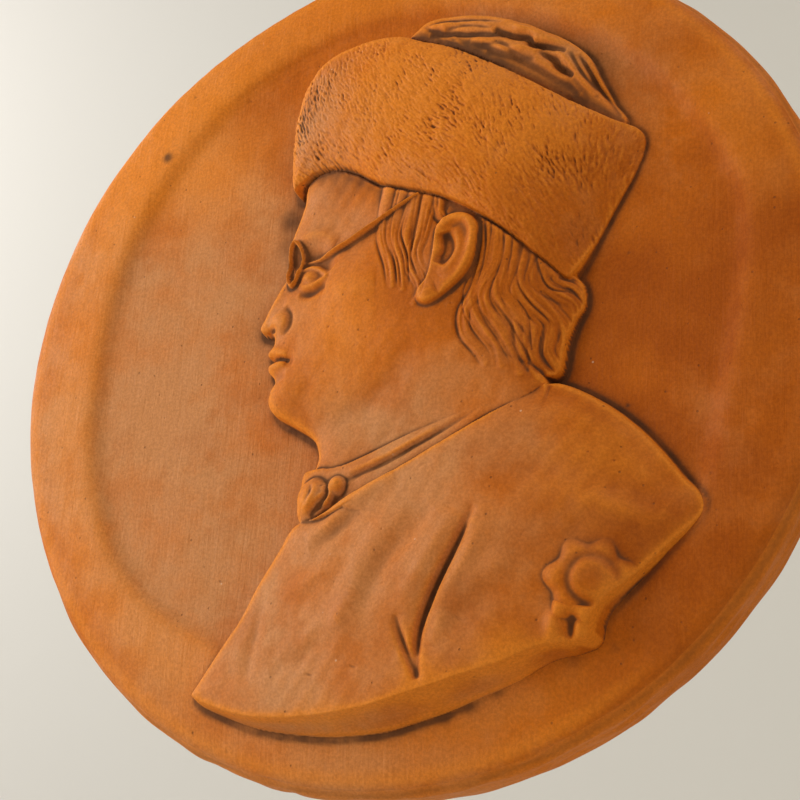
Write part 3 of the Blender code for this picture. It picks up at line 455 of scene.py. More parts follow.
# Stage, lights and camera, in metres
STAGE_FLOOR = -0.36
STAGE_BACK = 0.62
STAGE_FRONT = -0.9
STAGE_TOP = 1.3
STAGE_BEND = 0.2
STAGE_HALF_WIDTH = 1.4
STAGE_COLOUR = (0.70, 0.69, 0.66, 1.0)
LIGHTS = (
    ("key", (-0.296, -0.185, 0.035), (0, 0, 0), 0.30, 0.98, (1.0, 0.98, 0.93)),
    ("high", (0.3625, -0.169, 0.6928), (0, 0, 0), 0.60, 2.0, (1.0, 0.94, 0.80)),
    ("low", (0.6279, -0.2928, -0.40), (0, 0, 0), 0.60, 1.45, (1.0, 0.86, 0.60)),
    ("wall", (-1.05, 0.12, 0.45), (-0.60, 0.62, 0.22), 0.60, 5.1, (1.0, 0.98, 0.97)),
)
WORLD_COLOUR = (1.0, 0.92, 0.78, 1.0)
WORLD_STRENGTH = 0.42
CAMERA_PLACE = (0.0889, -0.1773, -0.0733)
CAMERA_AIM = (0.00175, -0.006, -0.0078)
CAMERA_UP = (0.075, -0.3225, 0.944)
CAMERA_LENS = 72.0


def catmull(points, closed, steps=8):
    """Points along a smooth curve through the given ones."""
    points = np.array(points, float)
    if closed:
        padded = np.vstack([points[-1:], points, points[:2]])
    else:
        padded = np.vstack([2 * points[0] - points[1], points, 2 * points[-1] - points[-2]])
    share = np.linspace(0, 1, steps, endpoint=False)[:, None]
    pieces = []
    for a, b, c, d in zip(padded, padded[1:], padded[2:], padded[3:]):
        pieces.append(
            b + 0.5 * share * (c - a)
            + share**2 * (a - 2.5 * b + 2 * c - 0.5 * d)
            + share**3 * (1.5 * (b - c) + 0.5 * (d - a))
        )
    if not closed:
        pieces.append(points[-1:])
    return np.vstack(pieces)


def near_line(x, y, line):
    """For each point, its distance from an open line and the share of the line that lies before it."""
    nearest = np.full(x.shape, np.inf)
    along = np.zeros(x.shape)
    lengths = np.hypot(*np.diff(line, axis=0).T)
    before = 0.0
    for (ax, ay), (bx, by), length in zip(line, line[1:], lengths):
        share = ((x - ax) * (bx - ax) + (y - ay) * (by - ay)) / length**2
        share = np.clip(share, 0, 1)
        distance = np.hypot(x - ax - share * (bx - ax), y - ay - share * (by - ay))
        closer = distance < nearest
        nearest = np.where(closer, distance, nearest)
        along = np.where(closer, before + share * length, along)
        before += length
    return nearest, along / before


def near_route(x, y, line, reach):
    """Which points lie within reach of a line's box, and for those what near_line gives."""
    low = line.min(axis=0) - reach
    high = line.max(axis=0) + reach
    near = (x > low[0]) & (x < high[0]) & (y > low[1]) & (y < high[1])
    return near, *near_line(x[near], y[near], line)


def inside_distance(x, y, outline):
    """Each point's distance from a closed outline, above zero inside it."""
    line = catmull(outline, closed=True)
    line = np.vstack([line, line[:1]])
    distance, _ = near_line(x, y, line)
    inside = np.zeros(x.shape, bool)
    for (ax, ay), (bx, by) in zip(line, line[1:]):
        if ay != by:
            crosses = (ay > y) != (by > y)
            inside ^= crosses & (x < ax + (y - ay) * (bx - ax) / (by - ay))
    return np.where(inside, distance, -distance)


def through_spots(x, y, spots):
    """A smooth surface through heights at a few spots, as a thin plate bends."""
    spots = np.array(spots, float)

    def bend(square):
        return square * np.log(square + 1e-9)

    gaps = (spots[:, None, :2] - spots[None, :, :2]) ** 2
    count = len(spots)
    plane = np.hstack([np.ones((count, 1)), spots[:, :2]])
    system = np.zeros((count + 3, count + 3))
    system[:count, :count] = bend(gaps.sum(axis=2))
    system[:count, count:] = plane
    system[count:, :count] = plane.T
    weights = np.linalg.solve(system, np.append(spots[:, 2], np.zeros(3)))
    surface = weights[count] + weights[count + 1] * x + weights[count + 2] * y
    for (across, up, _), weight in zip(spots, weights):
        surface = surface + weight * bend((x - across) ** 2 + (y - up) ** 2)
    return surface


def rounded(distance, reach, edge):
    """A share that rises like a quarter circle, from the edge's value at the outline to 1 at this reach."""
    share = np.clip(distance / reach, 0, 1)
    return edge + (1 - edge) * np.sqrt(1 - (1 - share) ** 2)


def blend_in(distance, width):
    """0 outside an outline, 1 inside it, with a soft step of this width at it."""
    share = np.clip(distance / width + 0.5, 0, 1)
    return share * share * (3 - 2 * share)


def laid_over(height, form, distance):
    """The form where it lies over what was there before, with a soft step at its outline."""
    return height + (form - height) * blend_in(distance, SOFT_STEP)


def standing(height):
    """0 at the field and 1 where the relief stands clear of it, for what is added only on the relief."""
    return np.clip(height / CLEAR_RISE, 0, 1)


def ridge(x, y, rise, half_width, route):
    """A soft ridge or furrow along a route: it fades at both ends, or runs round where the route closes."""
    ring = route[0] == route[-1]
    line = catmull(route[:-1] if ring else route, closed=ring)
    if ring:
        line = np.vstack([line, line[:1]])
    near, distance, along = near_route(x, y, line, 3 * half_width)
    fade = 1 if ring else np.sin(pi * np.clip(along, 0, 1)) ** 0.6
    raised = np.zeros(x.shape)
    raised[near] = rise * fade * np.exp(-((distance / half_width) ** 2))
    return raised


def with_ridges(x, y, height, ridges):
    """The height with ridges and furrows added to it."""
    for rise, half_width, route in ridges:
        height = height + ridge(x, y, rise, half_width, route)
    return height


def lump(x, y, across, up, radius, rise):
    """A low round swelling."""
    return rise * np.clip(1 - ((x - across) ** 2 + (y - up) ** 2) / radius**2, 0, 1) ** 2


def with_locks(x, y, height):
    """The height with locks of hair on it, side by side, each tapering to its tip."""
    base = height
    height = height.copy()
    for half_width, route in LOCKS:
        near, distance, along = near_route(x, y, catmull(route, closed=False), half_width)
        width = half_width * (1 - (1 - LOCK_TIP_SHARE) * along)
        arch = np.clip(1 - (distance / width) ** 2, 0, 1)
        lock = base[near] + LOCK_RISE * arch * (1 - LOCK_END_FALL * along)
        height[near] = np.where(arch > 0, np.maximum(height[near], lock), height[near])
    return height


def rosette(x, y):
    """A boss inside a ring of soft uneven lobes, which fade at their upper right, and two short tails."""
    across, up = ROSETTE_CENTRE
    radius = np.hypot(x - across, y - up) / ROSETTE_RADIUS
    angle = np.degrees(np.arctan2(y - up, x - across))
    edge = 1.0
    for count, share, turn in (ROSETTE_LOBES, ROSETTE_SWELL):
        edge = edge + share * np.cos(np.radians(count * (angle - turn)))
    place, width, depth = ROSETTE_RING
    ring = 1 - depth * np.exp(-(((radius - place) / width) ** 2))
    toward, share = ROSETTE_FADE
    shown = 1 - share * (0.5 + 0.5 * np.cos(np.radians(angle - toward))) * np.clip(2 * radius - 1, 0, 1)
    dish = np.clip(1 - (radius / edge) ** 4, 0, 1)
    return with_ridges(x, y, ROSETTE_RISE * dish * ring * shown, ROSETTE_TAILS)


def arc(centre, radius, first, last, steps):
    """Points on an arc in the profile's plane, by angle in degrees."""
    angles = np.radians(np.linspace(first, last, steps + 1))
    return [(centre[0] + radius * cos(a), centre[1] + radius * sin(a)) for a in angles]


def plate_profile():
    """The turned profile's points, from the field's centre over border and side to the back's centre."""
    border_start = PLATE_RADIUS - BORDER_WIDTH
    border_end = PLATE_RADIUS - LEDGE_WIDTH - EDGE_ROUND
    border_end_height = LIP_HEIGHT - BORDER_FALL
    points = [(0.0, FIELD_HEIGHT), (0.5 * FIELD_RADIUS, FIELD_HEIGHT)]
    for across, up in COVE_CURVE:
        points.append((FIELD_RADIUS + across * COVE_WIDTH, FIELD_HEIGHT + up * FIELD_DEPTH))
    for share in BORDER_SHARES:
        across = border_start + share * (border_end - border_start)
        points.append((across, LIP_HEIGHT - BORDER_FALL * share**2))
    points += arc((border_end, border_end_height - EDGE_ROUND), EDGE_ROUND, 60, 0, 2)
    points.append((PLATE_RADIUS, border_end_height - EDGE_ROUND - 0.5 * LEDGE_WIDTH))
    points += [(PLATE_RADIUS, BACK_BEVEL), (PLATE_RADIUS - BACK_BEVEL, 0.0), (0.0, 0.0)]
    return points


def uneven(x, y, longest, shortest, seed, count=16):
    """A smooth unevenness of about unit size, made of waves in seeded directions."""
    chance = np.random.default_rng(seed)
    total = 0
    for _ in range(count):
        length = longest * (shortest / longest) ** chance.random()
        turn, phase = chance.random(2) * 2 * pi
        total = total + np.sin(2 * pi * (x * cos(turn) + y * sin(turn)) / length + phase)
    return total / np.sqrt(count / 2)


def spots_sum(x, y, spots):
    """The sum of soft round spots, each given as (across, up, radius, amount)."""
    total = np.zeros(np.shape(x))
    for across, up, radius, amount in spots:
        total = total + amount * np.exp(-((x - across) ** 2 + (y - up) ** 2) / radius**2)
    return total


def finer(coarse):
    """A lattice with a point added between each two, on a smooth curve through the four nearest."""

    def with_middles(lines):
        padded = np.concatenate([lines[:1], lines, lines[-1:]])
        middles = (9 * (padded[1:-2] + padded[2:-1]) - padded[:-3] - padded[3:]) / 16
        doubled = np.empty((2 * len(lines) - 1,) + lines.shape[1:])
        doubled[::2] = lines
        doubled[1::2] = middles
        return doubled

    return with_middles(with_middles(coarse).T).T


def blurred(values, radius):
    """A lattice blurred over a radius in its own steps."""
    down = np.fft.fftfreq(values.shape[0])[:, None]
    across = np.fft.rfftfreq(values.shape[1])[None, :]
    gauss = np.exp(-2 * (pi * radius) ** 2 * (down**2 + across**2))
    return np.fft.irfft2(np.fft.rfft2(values) * gauss, s=values.shape)


class Lattice:
    """A square lattice over a box, with the relief's heights above the field, all in figure units."""

    def __init__(self, box, step):
        self.left, self.bottom, right, top = box
        self.step = step
        across = np.arange(self.left, right, 2 * step)
        up = np.arange(self.bottom, top, 2 * step)
        self.coarse = np.meshgrid(across, up, indexing="ij")
        self.x, self.y = [finer(v) for v in self.coarse]
        self.lay_forms()

    def inside(self, outline):
        """The distance inside an outline, which is smooth enough to be found on every other line."""
        return finer(inside_distance(*self.coarse, outline))

    def surface(self, spots):
        return finer(through_spots(*self.coarse, spots))

    def lay_forms(self):
        """The relief as in the solid: all below the band of the cap, the band alone, and both together."""
        x, y = self.x, self.y
        head = self.inside(HEAD)
        face = with_ridges(x, y, self.surface(HEAD_SPOTS) * rounded(head, *HEAD_ROUNDING), FACE_RIDGES)
        for across, up, radius, rise in FACE_LUMPS:
            face = face + lump(x, y, across, up, radius, rise)
        height = laid_over(SUNK, face, head)

        hair = self.inside(HAIR)
        mass = self.surface(HAIR_SPOTS) * rounded(hair, *HAIR_ROUNDING)
        combed = np.maximum(height, laid_over(SUNK, mass, hair))
        height = combed + (with_locks(x, y, combed) - combed) * standing(combed)

        shell = with_ridges(x, y, height + EAR_RISE, EAR_RIDGES)
        height = laid_over(height, shell, self.inside(EAR))
        wires = [(rise, SPECTACLES_FINER * width, route) for rise, width, route in SPECTACLE_RIDGES]
        rims = np.maximum(height, with_ridges(x, y, combed, wires))
        height = height + (rims - height) * standing(combed)

        cloth = self.inside(NECKCLOTH)
        wrap = self.surface(NECKCLOTH_SPOTS) * rounded(cloth, *NECKCLOTH_ROUNDING)
        wrap = with_ridges(x, y, wrap, NECKCLOTH_RIDGES)
        height = np.maximum(height, laid_over(SUNK, wrap, cloth))

        coat = self.inside(COAT)
        under = blend_in(CUT_TOP - y, CUT_FADE) * np.exp(-(((x - CUT_MIDDLE) / CUT_REACH) ** 2))
        reach, edge = COAT_ROUNDING
        edge = edge + (CUT_EDGE - edge) * np.maximum(under, np.clip(height / COLLAR_REST, 0, 1))
        drape = self.surface(COAT_SPOTS) * rounded(coat, reach, edge)
        drape = with_ridges(x, y, drape, COAT_RIDGES)
        wall = np.clip(coat / (WALL_WIDTH + CUT_WIDTH * under), 0, 1)
        sides = (drape + rosette(x, y)) * (CUT_FOOT + (1 - CUT_FOOT) * wall)
        height = laid_over(height, np.where(wall < 1, np.maximum(sides, height), sides), coat)

        knot = sum(lump(x, y, *swelling) for swelling in KNOT_LUMPS)
        tied = with_ridges(x, y, KNOT_FOOT + knot, KNOT_FURROWS)
        height = height + np.maximum(tied - height, 0) * blend_in(knot - KNOT_EDGE, KNOT_EDGE)

        crown = self.inside(CAP_CROWN)
        folds = self.surface(CAP_CROWN_SPOTS) * rounded(crown, *CROWN_ROUNDING)
        height = laid_over(height, with_ridges(x, y, folds, CROWN_RIDGES), crown)

        band = self.inside(CAP_BAND)
        edge = np.interp(x, (CAP_BROW_EDGE[0], CAP_BACK_EDGE[0]), (CAP_BROW_EDGE[1], CAP_BACK_EDGE[1]))
        fur = self.surface(CAP_BAND_SPOTS) * rounded(band, CAP_REACH, edge)
        height = np.where(band > 0, np.minimum(height, fur - UNDER_BAND), height)
        rise = RELIEF_HEIGHT / FIGURE_UNIT
        self.below = height * rise
        self.fur = laid_over(SUNK, fur, band) * rise
        self.height = laid_over(height, fur, band) * rise
        self.band, self.crown, self.coat = band, crown, coat
        self.everything = np.maximum.reduce([head, hair, cloth, coat, crown, band])

    def window(self, low, high):
        """The slice of the lattice that covers a box."""
        first = np.floor((np.array(low) - (self.left, self.bottom)) / self.step).astype(int)
        last = np.ceil((np.array(high) - (self.left, self.bottom)) / self.step).astype(int) + 1
        first = np.maximum(first, 0)
        last = np.maximum(last, 0)
        return slice(first[0], last[0]), slice(first[1], last[1])

    def carve(self, part, depth):
        """Lower all the layers of the relief in a slice of the lattice."""
        self.below[part] -= depth
        self.fur[part] -= depth
        self.height[part] -= depth

    def groove(self, path, half_width, depth):
        """Cut a groove with pointed ends along a path, or raise a ridge where the depth is below zero."""
        part = self.window(path.min(axis=0) - 2.2 * half_width, path.max(axis=0) + 2.2 * half_width)
        if self.x[part].size:
            distance, along = near_line(self.x[part], self.y[part], path)
            self.carve(part, depth * np.sin(pi * along) ** 0.7 * np.exp(-((distance / half_width) ** 2)))

    def pit(self, across, up, radius, depth):
        """Cut a round pit."""
        part = self.window((across - radius, up - radius), (across + radius, up + radius))
        share = ((self.x[part] - across) ** 2 + (self.y[part] - up) ** 2) / radius**2
        self.carve(part, depth * np.clip(1 - share, 0, 1) ** 1.5)

    def sampled(self, values, x, y, outside):
        """Values of the lattice at any points, and one value outside it."""
        i = (x - self.left) / self.step
        j = (y - self.bottom) / self.step
        inside = (i >= 0) & (j >= 0) & (i < values.shape[0] - 1) & (j < values.shape[1] - 1)
        i = np.where(inside, i, 0)
        j = np.where(inside, j, 0)
        low_i, low_j = i.astype(int), j.astype(int)
        i, j = i - low_i, j - low_j
        found = (values[low_i, low_j] * (1 - i) + values[low_i + 1, low_j] * i) * (1 - j)
        found += (values[low_i, low_j + 1] * (1 - i) + values[low_i + 1, low_j + 1] * i) * j
        return np.where(inside, found, outside)


def stroke_path(across, up, angle, length, bend):
    """A short curved path through a point, at an angle in degrees and bending by this many degrees."""
    turns = np.radians(angle + bend * np.linspace(-0.5, 0.5, 4))
    steps = np.stack([np.cos(turns), np.sin(turns)], axis=1) * length / 4
    path = np.vstack([[0, 0], np.cumsum(steps, axis=0)])
    return path - path.mean(axis=0) + (across, up)


def carve_fur(lattice):
    """Tufts and fine short strokes over the band of the cap."""
    chance = np.random.default_rng(FUR_SEED)
    for spacing, lengths, widths, depths in FUR_LAYERS:
        across = np.arange(BAND_BOX[0], BAND_BOX[2], spacing)
        up = np.arange(BAND_BOX[1], BAND_BOX[3], spacing)
        x, y = [v.ravel() for v in np.meshgrid(across, up, indexing="ij")]
        x = x + chance.uniform(-0.7, 0.7, x.size) * spacing
        y = y + chance.uniform(-0.7, 0.7, y.size) * spacing
        inside = lattice.sampled(lattice.band, x, y, -9) > -0.2
        x, y = x[inside], y[inside]
        angles = through_spots(x, y, FUR_ANGLES) + chance.normal(0, 7, x.size)
        bends = chance.normal(10, 14, x.size)
        long = chance.uniform(*lengths, x.size)
        wide = chance.uniform(*widths, x.size)
        deep = chance.uniform(*depths, x.size) * (0.55 + spots_sum(x, y, FUR_THICK))
        deep = deep * np.clip(1 + 0.4 * uneven(x, y, 18, 6, FUR_SEED + 1), 0.65, 1.6)
        for stroke in zip(x, y, angles, long, bends, wide, deep):
            lattice.groove(stroke_path(*stroke[:5]), stroke[5], stroke[6])


def carve_hair(lattice):
    """Fine strands that follow each lock, over its sides as well as along its middle."""
    chance = np.random.default_rng(HAIR_SEED)
    for half_width, route in LOCKS:
        line = catmull(route, closed=False)
        heading = np.gradient(line, axis=0)
        heading /= np.hypot(*heading.T)[:, None]
        aside = np.stack([-heading[:, 1], heading[:, 0]], axis=1)
        taper = 1 - 0.5 * np.linspace(0, 1, len(line))[:, None]
        for _ in range(STRANDS_A_LOCK):
            first = chance.integers(0, len(line) * 3 // 4)
            last = min(first + chance.integers(len(line) // 4, len(line)), len(line))
            path = line + aside * taper * half_width * chance.uniform(-1.1, 1.1)
            lattice.groove(path[first:last], STRAND_WIDTH, chance.uniform(*STRAND_DEPTHS))


def carve_marks(lattice):
    """Pits all over the figure, and the small shallow dents on the coat."""
    chance = np.random.default_rng(PIT_SEED)
    for _ in range(FIGURE_PITS):
        x = chance.uniform(FIGURE_BOX[0], FIGURE_BOX[2])
        y = chance.uniform(FIGURE_BOX[1], FIGURE_BOX[3])
        radius = chance.uniform(0.20, 0.36)
        lattice.pit(x, y, radius, radius * chance.uniform(0.3, 0.7))
    for across, up, angle in COAT_DENTS:
        lattice.groove(stroke_path(across, up, angle, 2.2, 10), 0.32, 0.22)
    for box, count, angles, lengths, widths, depths in CREASES:
        for _ in range(count):
            path = stroke_path(
                chance.uniform(box[0], box[2]), chance.uniform(box[1], box[3]), chance.uniform(*angles),
                chance.uniform(*lengths), chance.normal(0, 25),
            )
            lattice.groove(path, chance.uniform(*widths), chance.uniform(*depths))


def surface_normals(height, step):
    """The normals of a lattice of heights, in the world's axes."""
    slope_x, slope_y = np.gradient(height, step)
    length = np.sqrt(slope_x**2 + slope_y**2 + 1)
    return np.stack([-slope_x / length, -1 / length, -slope_y / length], axis=-1)


def add_piece(name, places, faces, normals, marks, material):
    """A mesh piece of the roundel, with its own normals and its marks for the material."""
    used = np.unique(np.concatenate([np.ravel(face) for face in faces]))
    renumbered = np.zeros(len(places), int)
    renumbered[used] = np.arange(len(used))
    mesh = bpy.data.meshes.new(name)
    mesh.from_pydata(places[used].tolist(), [], [renumbered[face].tolist() for face in faces])
    mesh.shade_smooth()
    for mark, values in marks.items():
        layer = mesh.attributes.new(mark, "FLOAT", "POINT")
        layer.data.foreach_set("value", values[used].astype(np.float32))
    mesh.normals_split_custom_set_from_vertices(normals[used].tolist())
    mesh.materials.append(material)
    piece = bpy.data.objects.new(name, mesh)
    bpy.context.scene.collection.objects.link(piece)
    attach(piece, "root")
    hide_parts("roundel")
    return piece


def tones_at(x, y):
    """How far the clay's colour goes from orange to a dusty tan, and how far to a deep brown that is partly painted
    shade.
    """
    dusty = spots_sum(x, y, TONES) + 0.10 * uneven(x, y, 60, 14, TONE_SEED)
    brown_and_shade = spots_sum(x, y, BROWNS_AND_SHADE) + 0.10 * uneven(x, y, 50, 12, TONE_SEED + 1)
    return {"dusty": np.clip(dusty, 0, 1), "brown_and_shade": np.clip(brown_and_shade, 0, 1)}


def hollows(lattice):
    """How far each point lies below its near and its wider surroundings."""
    shown = np.maximum(lattice.height, 0)
    return [blurred(shown, radius / lattice.step) - shown for radius in HOLLOW_REACHES]


def add_layer(lattice, height, names):
    """Pieces of one layer of the relief, each from the quads that its mask picks."""
    near, wide = hollows(lattice)
    places = np.stack([lattice.x, -(FIELD_HEIGHT / FIGURE_UNIT + height), lattice.y], axis=-1) * FIGURE_UNIT
    on_fur = blend_in(lattice.band, 2)
    on_crown = blend_in(lattice.crown, 2) * (1 - on_fur)
    # Painted shadow with dirt just below the cap's band, and none on it
    brim = BRIM_DIRT_AND_SHADOW * np.exp(-np.clip(-lattice.band, 0, None) / BRIM_REACH) * (1 - on_fur)
    # Dirt and painted shade in the hollows of the relief, less on the fur and the crown
    dirt_and_shade = DIRT_AND_SHADE_NEAR * near * (1 - FUR_LESS_DARKENED * on_fur - CROWN_LESS_DARKENED * on_crown) + DIRT_AND_SHADE_WIDE * wide + brim
    dirt_and_shade = dirt_and_shade + CROWN_DUST * on_crown
    marks = {
        "dirt_and_shade": dirt_and_shade + spots_sum(lattice.x, lattice.y, DIRT_AND_SHADE_SPOTS) * (0.35 + near),
        # Paler where the relief stands above its surroundings, less on the crown: painted highlight on high parts and
        # edges, with rubbed wear, and the paler spots
        "raised": (-2.2 * near - 0.5 * wide) * (1 - 0.6 * on_crown) + spots_sum(lattice.x, lattice.y, RUBBED_AND_LIT_SPOTS),
        **tones_at(lattice.x, lattice.y),
    }
    marks = {mark: np.clip(values, 0, 1).ravel() for mark, values in marks.items()}
    index = np.arange(height.size).reshape(height.shape)
    quads = np.stack([index[:-1, :-1], index[1:, :-1], index[1:, 1:], index[:-1, 1:]], axis=-1)
    highest = np.maximum.reduce([height.ravel()[quads[..., corner]] for corner in range(4)])
    normals = surface_normals(height, lattice.step)
    for name, mask in names.items():
        picked = quads[mask[:-1, :-1] & (highest > FOOT_DEPTH)]
        add_piece(name, places.reshape(-1, 3), picked, normals.reshape(-1, 3), marks, clay_material(name, 0.0))


def add_figure(lattice, fine):
    """The band of the cap on its own finer lattice, and below it the crown, the head and the coat."""
    bare = lattice.band < 1.4
    coat = (lattice.coat > -0.7) & (lattice.crown < -0.7) & bare
    crown = (lattice.crown > -0.7) & bare
    names = {"roundel_coat": coat, "roundel_crown": crown, "roundel_head": bare & ~coat & ~crown}
    add_layer(lattice, lattice.below, names)
    add_layer(fine, fine.fur, {"roundel_band": fine.band > -2})


def top_profile():
    """The plate's turned profile, evenly spaced along its length, as (radius, height above the back)."""
    line = np.array([(FIELD_START * PLATE_RADIUS, FIELD_HEIGHT)] + plate_profile()[1:-1])
    length = np.concatenate([[0], np.cumsum(np.hypot(*np.diff(line, axis=0).T))])
    even = np.linspace(0, length[-1], int(length[-1] / RING_STEP))
    turned = np.stack([np.interp(even, length, line[:, 0]), np.interp(even, length, line[:, 1])], axis=1)
    for _ in range(PROFILE_SMOOTHING):
        turned[1:-1] = 0.25 * turned[:-2] + 0.5 * turned[1:-1] + 0.25 * turned[2:]
    back = np.linspace(turned[-1, 0], 0.0005, BACK_RINGS)[1:]
    return np.vstack([turned, np.stack([back, np.zeros(len(back))], axis=1)])


def add_plate(lattice):
    """The field and the border with the side and the back, as two pieces that meet along a circle."""
    profile = top_profile()
    angle_count = PLATE_ANGLES // 1
    angle = np.arange(angle_count) * 2 * pi / angle_count
    rings, turns = np.meshgrid(np.arange(len(profile)), angle, indexing="ij")
    radius = profile[rings, 0]
    height = profile[rings, 1]
    front = height > FIELD_HEIGHT - 0.3 * FIELD_DEPTH
    outer = np.clip((PLATE_RADIUS - 2 * LEDGE_WIDTH - radius) / (0.5 * BORDER_WIDTH), 0, 1)
    stray = np.interp(angle, *stray_table())[None, :]
    started = np.clip(radius / (0.6 * FIELD_RADIUS), 0, 1) ** 4
    on_border = BORDER_PALER * np.clip((height - FIELD_HEIGHT) / (0.8 * FIELD_DEPTH), 0, 1)
    radius = radius + np.where(front, stray * outer * started, 0)
    x = radius * np.cos(turns) / FIGURE_UNIT
    y = radius * np.sin(turns) / FIGURE_UNIT
    edge_share = radius / PLATE_RADIUS
    waver = uneven(x, y, 70, 22, WAVER_SEED) * 0.09 + uneven(x, y, 16, 5, WAVER_SEED + 1) * 0.03
    height = height / FIGURE_UNIT + np.where(height > 0.3 * LIP_HEIGHT, waver, 0.4 * waver)
    side = (edge_share > 0.97) & ~front
    radius = radius * np.where(side, 1 - 0.0012 * (1 + uneven(x * 3, height * 9, 60, 20, WAVER_SEED + 2)), 1)

    ring = np.broadcast_to(profile[:, :1] / FIGURE_UNIT, x.shape)
    for toward, span, place, lean, depth in BORDER_LINES:
        along = (np.degrees(turns) - toward) / span
        away = (ring - place - lean * along) / BORDER_LINE_WIDTH
        height -= depth * np.exp(-(away**2) - along**4)

    pit_dirt = np.zeros(x.shape)
    chance = np.random.default_rng(PIT_SEED + 1)
    for _ in range(PLATE_PITS):
        turn = chance.uniform(0, 2 * pi)
        away = 100 * np.sqrt(chance.uniform(0.07, 0.96))
        size = chance.uniform(0.26, 0.42) * chance.choice((1, 1, 1, 1, 1.7))
        across, up = away * cos(turn), away * sin(turn)
        close = np.flatnonzero(np.abs(profile[:, 0] - away * FIGURE_UNIT) < 4 * size * FIGURE_UNIT)
        rows = slice(close[0], close[-1] + 1)
        share = ((x[rows] - across) ** 2 + (y[rows] - up) ** 2) / size**2
        dent = np.clip(1 - share, 0, 1) * front[rows]
        height[rows] -= size * chance.uniform(0.15, 0.4) * dent
        pit_dirt[rows] = np.maximum(pit_dirt[rows], chance.uniform(0.1, 0.6) * dent)

    # Dirt and painted shade on the field at the foot of the relief and in the relief's hollows near it, left out at
    # some spots
    gap = -lattice.sampled(lattice.everything, x, y, -30)
    foot = np.exp(-np.clip(gap - 0.2, 0, None) / 0.7) + 0.4 * np.exp(-np.clip(gap, 0, None) / 3.5)
    near, wide = hollows(lattice)
    crevice = lattice.sampled(DIRT_AND_SHADE_NEAR * near + DIRT_AND_SHADE_WIDE * wide, x, y, 0)
    foot = foot * (1 + spots_sum(x, y, FOOT_DIRT_AND_SHADE_SPOTS))
    undarkened = 1 - np.clip(spots_sum(x, y, FOOT_UNDARKENED), 0, 1)
    dirt_and_shade = np.clip(FOOT_DIRT_AND_SHADE * foot + 0.5 * np.clip(crevice, 0, 1), 0, 1) * undarkened * front + pit_dirt
    dirt_and_shade = dirt_and_shade + spots_sum(x, y, PLATE_STAINS) * front
    # A darker line round the outer edge of the rim, above half the lip's height
    dirt_and_shade = dirt_and_shade + RIM_DARK_LINE * np.exp(-(((edge_share - 0.992) / 0.006) ** 2)) * (height > 0.5 * LIP_HEIGHT / FIGURE_UNIT)
    places = np.stack([radius * np.cos(turns), -height * FIGURE_UNIT, radius * np.sin(turns)], axis=-1)
    along = np.gradient(places, axis=0)
    around = np.roll(places, -1, axis=1) - np.roll(places, 1, axis=1)
    normals = np.cross(around, along)
    normals /= np.maximum(np.linalg.norm(normals, axis=-1, keepdims=True), 1e-12)
    outward = normals[len(profile) // 3, 0, 1] < 0
    normals = normals if outward else -normals
    # Paler on the border, and along its outer rounding as a painted highlight with rubbed wear; painted light at the
    # upper left and painted shade on the right; the side and back paler as painted bounce light
    paler = on_border + 0.4 * np.exp(-(((edge_share - 0.965) / 0.02) ** 2)) + spots_sum(x, y, PLATE_LIT_AND_SHADED)
    marks = {
        "dirt_and_shade": np.clip(dirt_and_shade, 0, 1).ravel(),
        "raised": np.clip(np.where(front, paler, SIDE_LIT), 0, 1).ravel(),
    }
    marks.update((mark, values.ravel()) for mark, values in tones_at(x, y).items())
    index = np.arange(x.size).reshape(x.shape)
    after = np.roll(index, -1, axis=1)
    quads = np.stack([index[:-1], index[1:], after[1:], after[:-1]], axis=-1)
    hidden = lattice.sampled(np.minimum(lattice.everything, 4 * lattice.height), x, y, -9) > 1.6
    hidden = np.logical_and.reduce([hidden.ravel()[quads[..., corner]] for corner in range(4)]) & front[:-1]
    split = int(np.argmin(np.abs(profile[: len(profile) // 2, 0] - SPLIT_SHARE * PLATE_RADIUS)))
    ring = np.arange(len(profile) - 1)[:, None]
    flat = places.reshape(-1, 3)
    facing = normals.reshape(-1, 3)
    material = clay_material("roundel_field", 1.0)
    inner = (ring < split) & ~hidden
    add_piece("roundel_field", flat, quads[inner], facing, marks, material)
    material = clay_material("roundel_border", 1.0)
    outer = quads[(ring >= split) & ~hidden].tolist() + [index[-1, ::-1].tolist()]
    add_piece("roundel_border", flat, outer, facing, marks, material)


def stray_table():
    """Angles and how far the field's edge strays outwards there, ready for interpolation round the plate."""
    angles = [radians(a) for a, _ in FIELD_EDGE_STRAY]
    strays = [s * FIGURE_UNIT for _, s in FIELD_EDGE_STRAY]
    return angles + [2 * pi], strays + strays[:1]


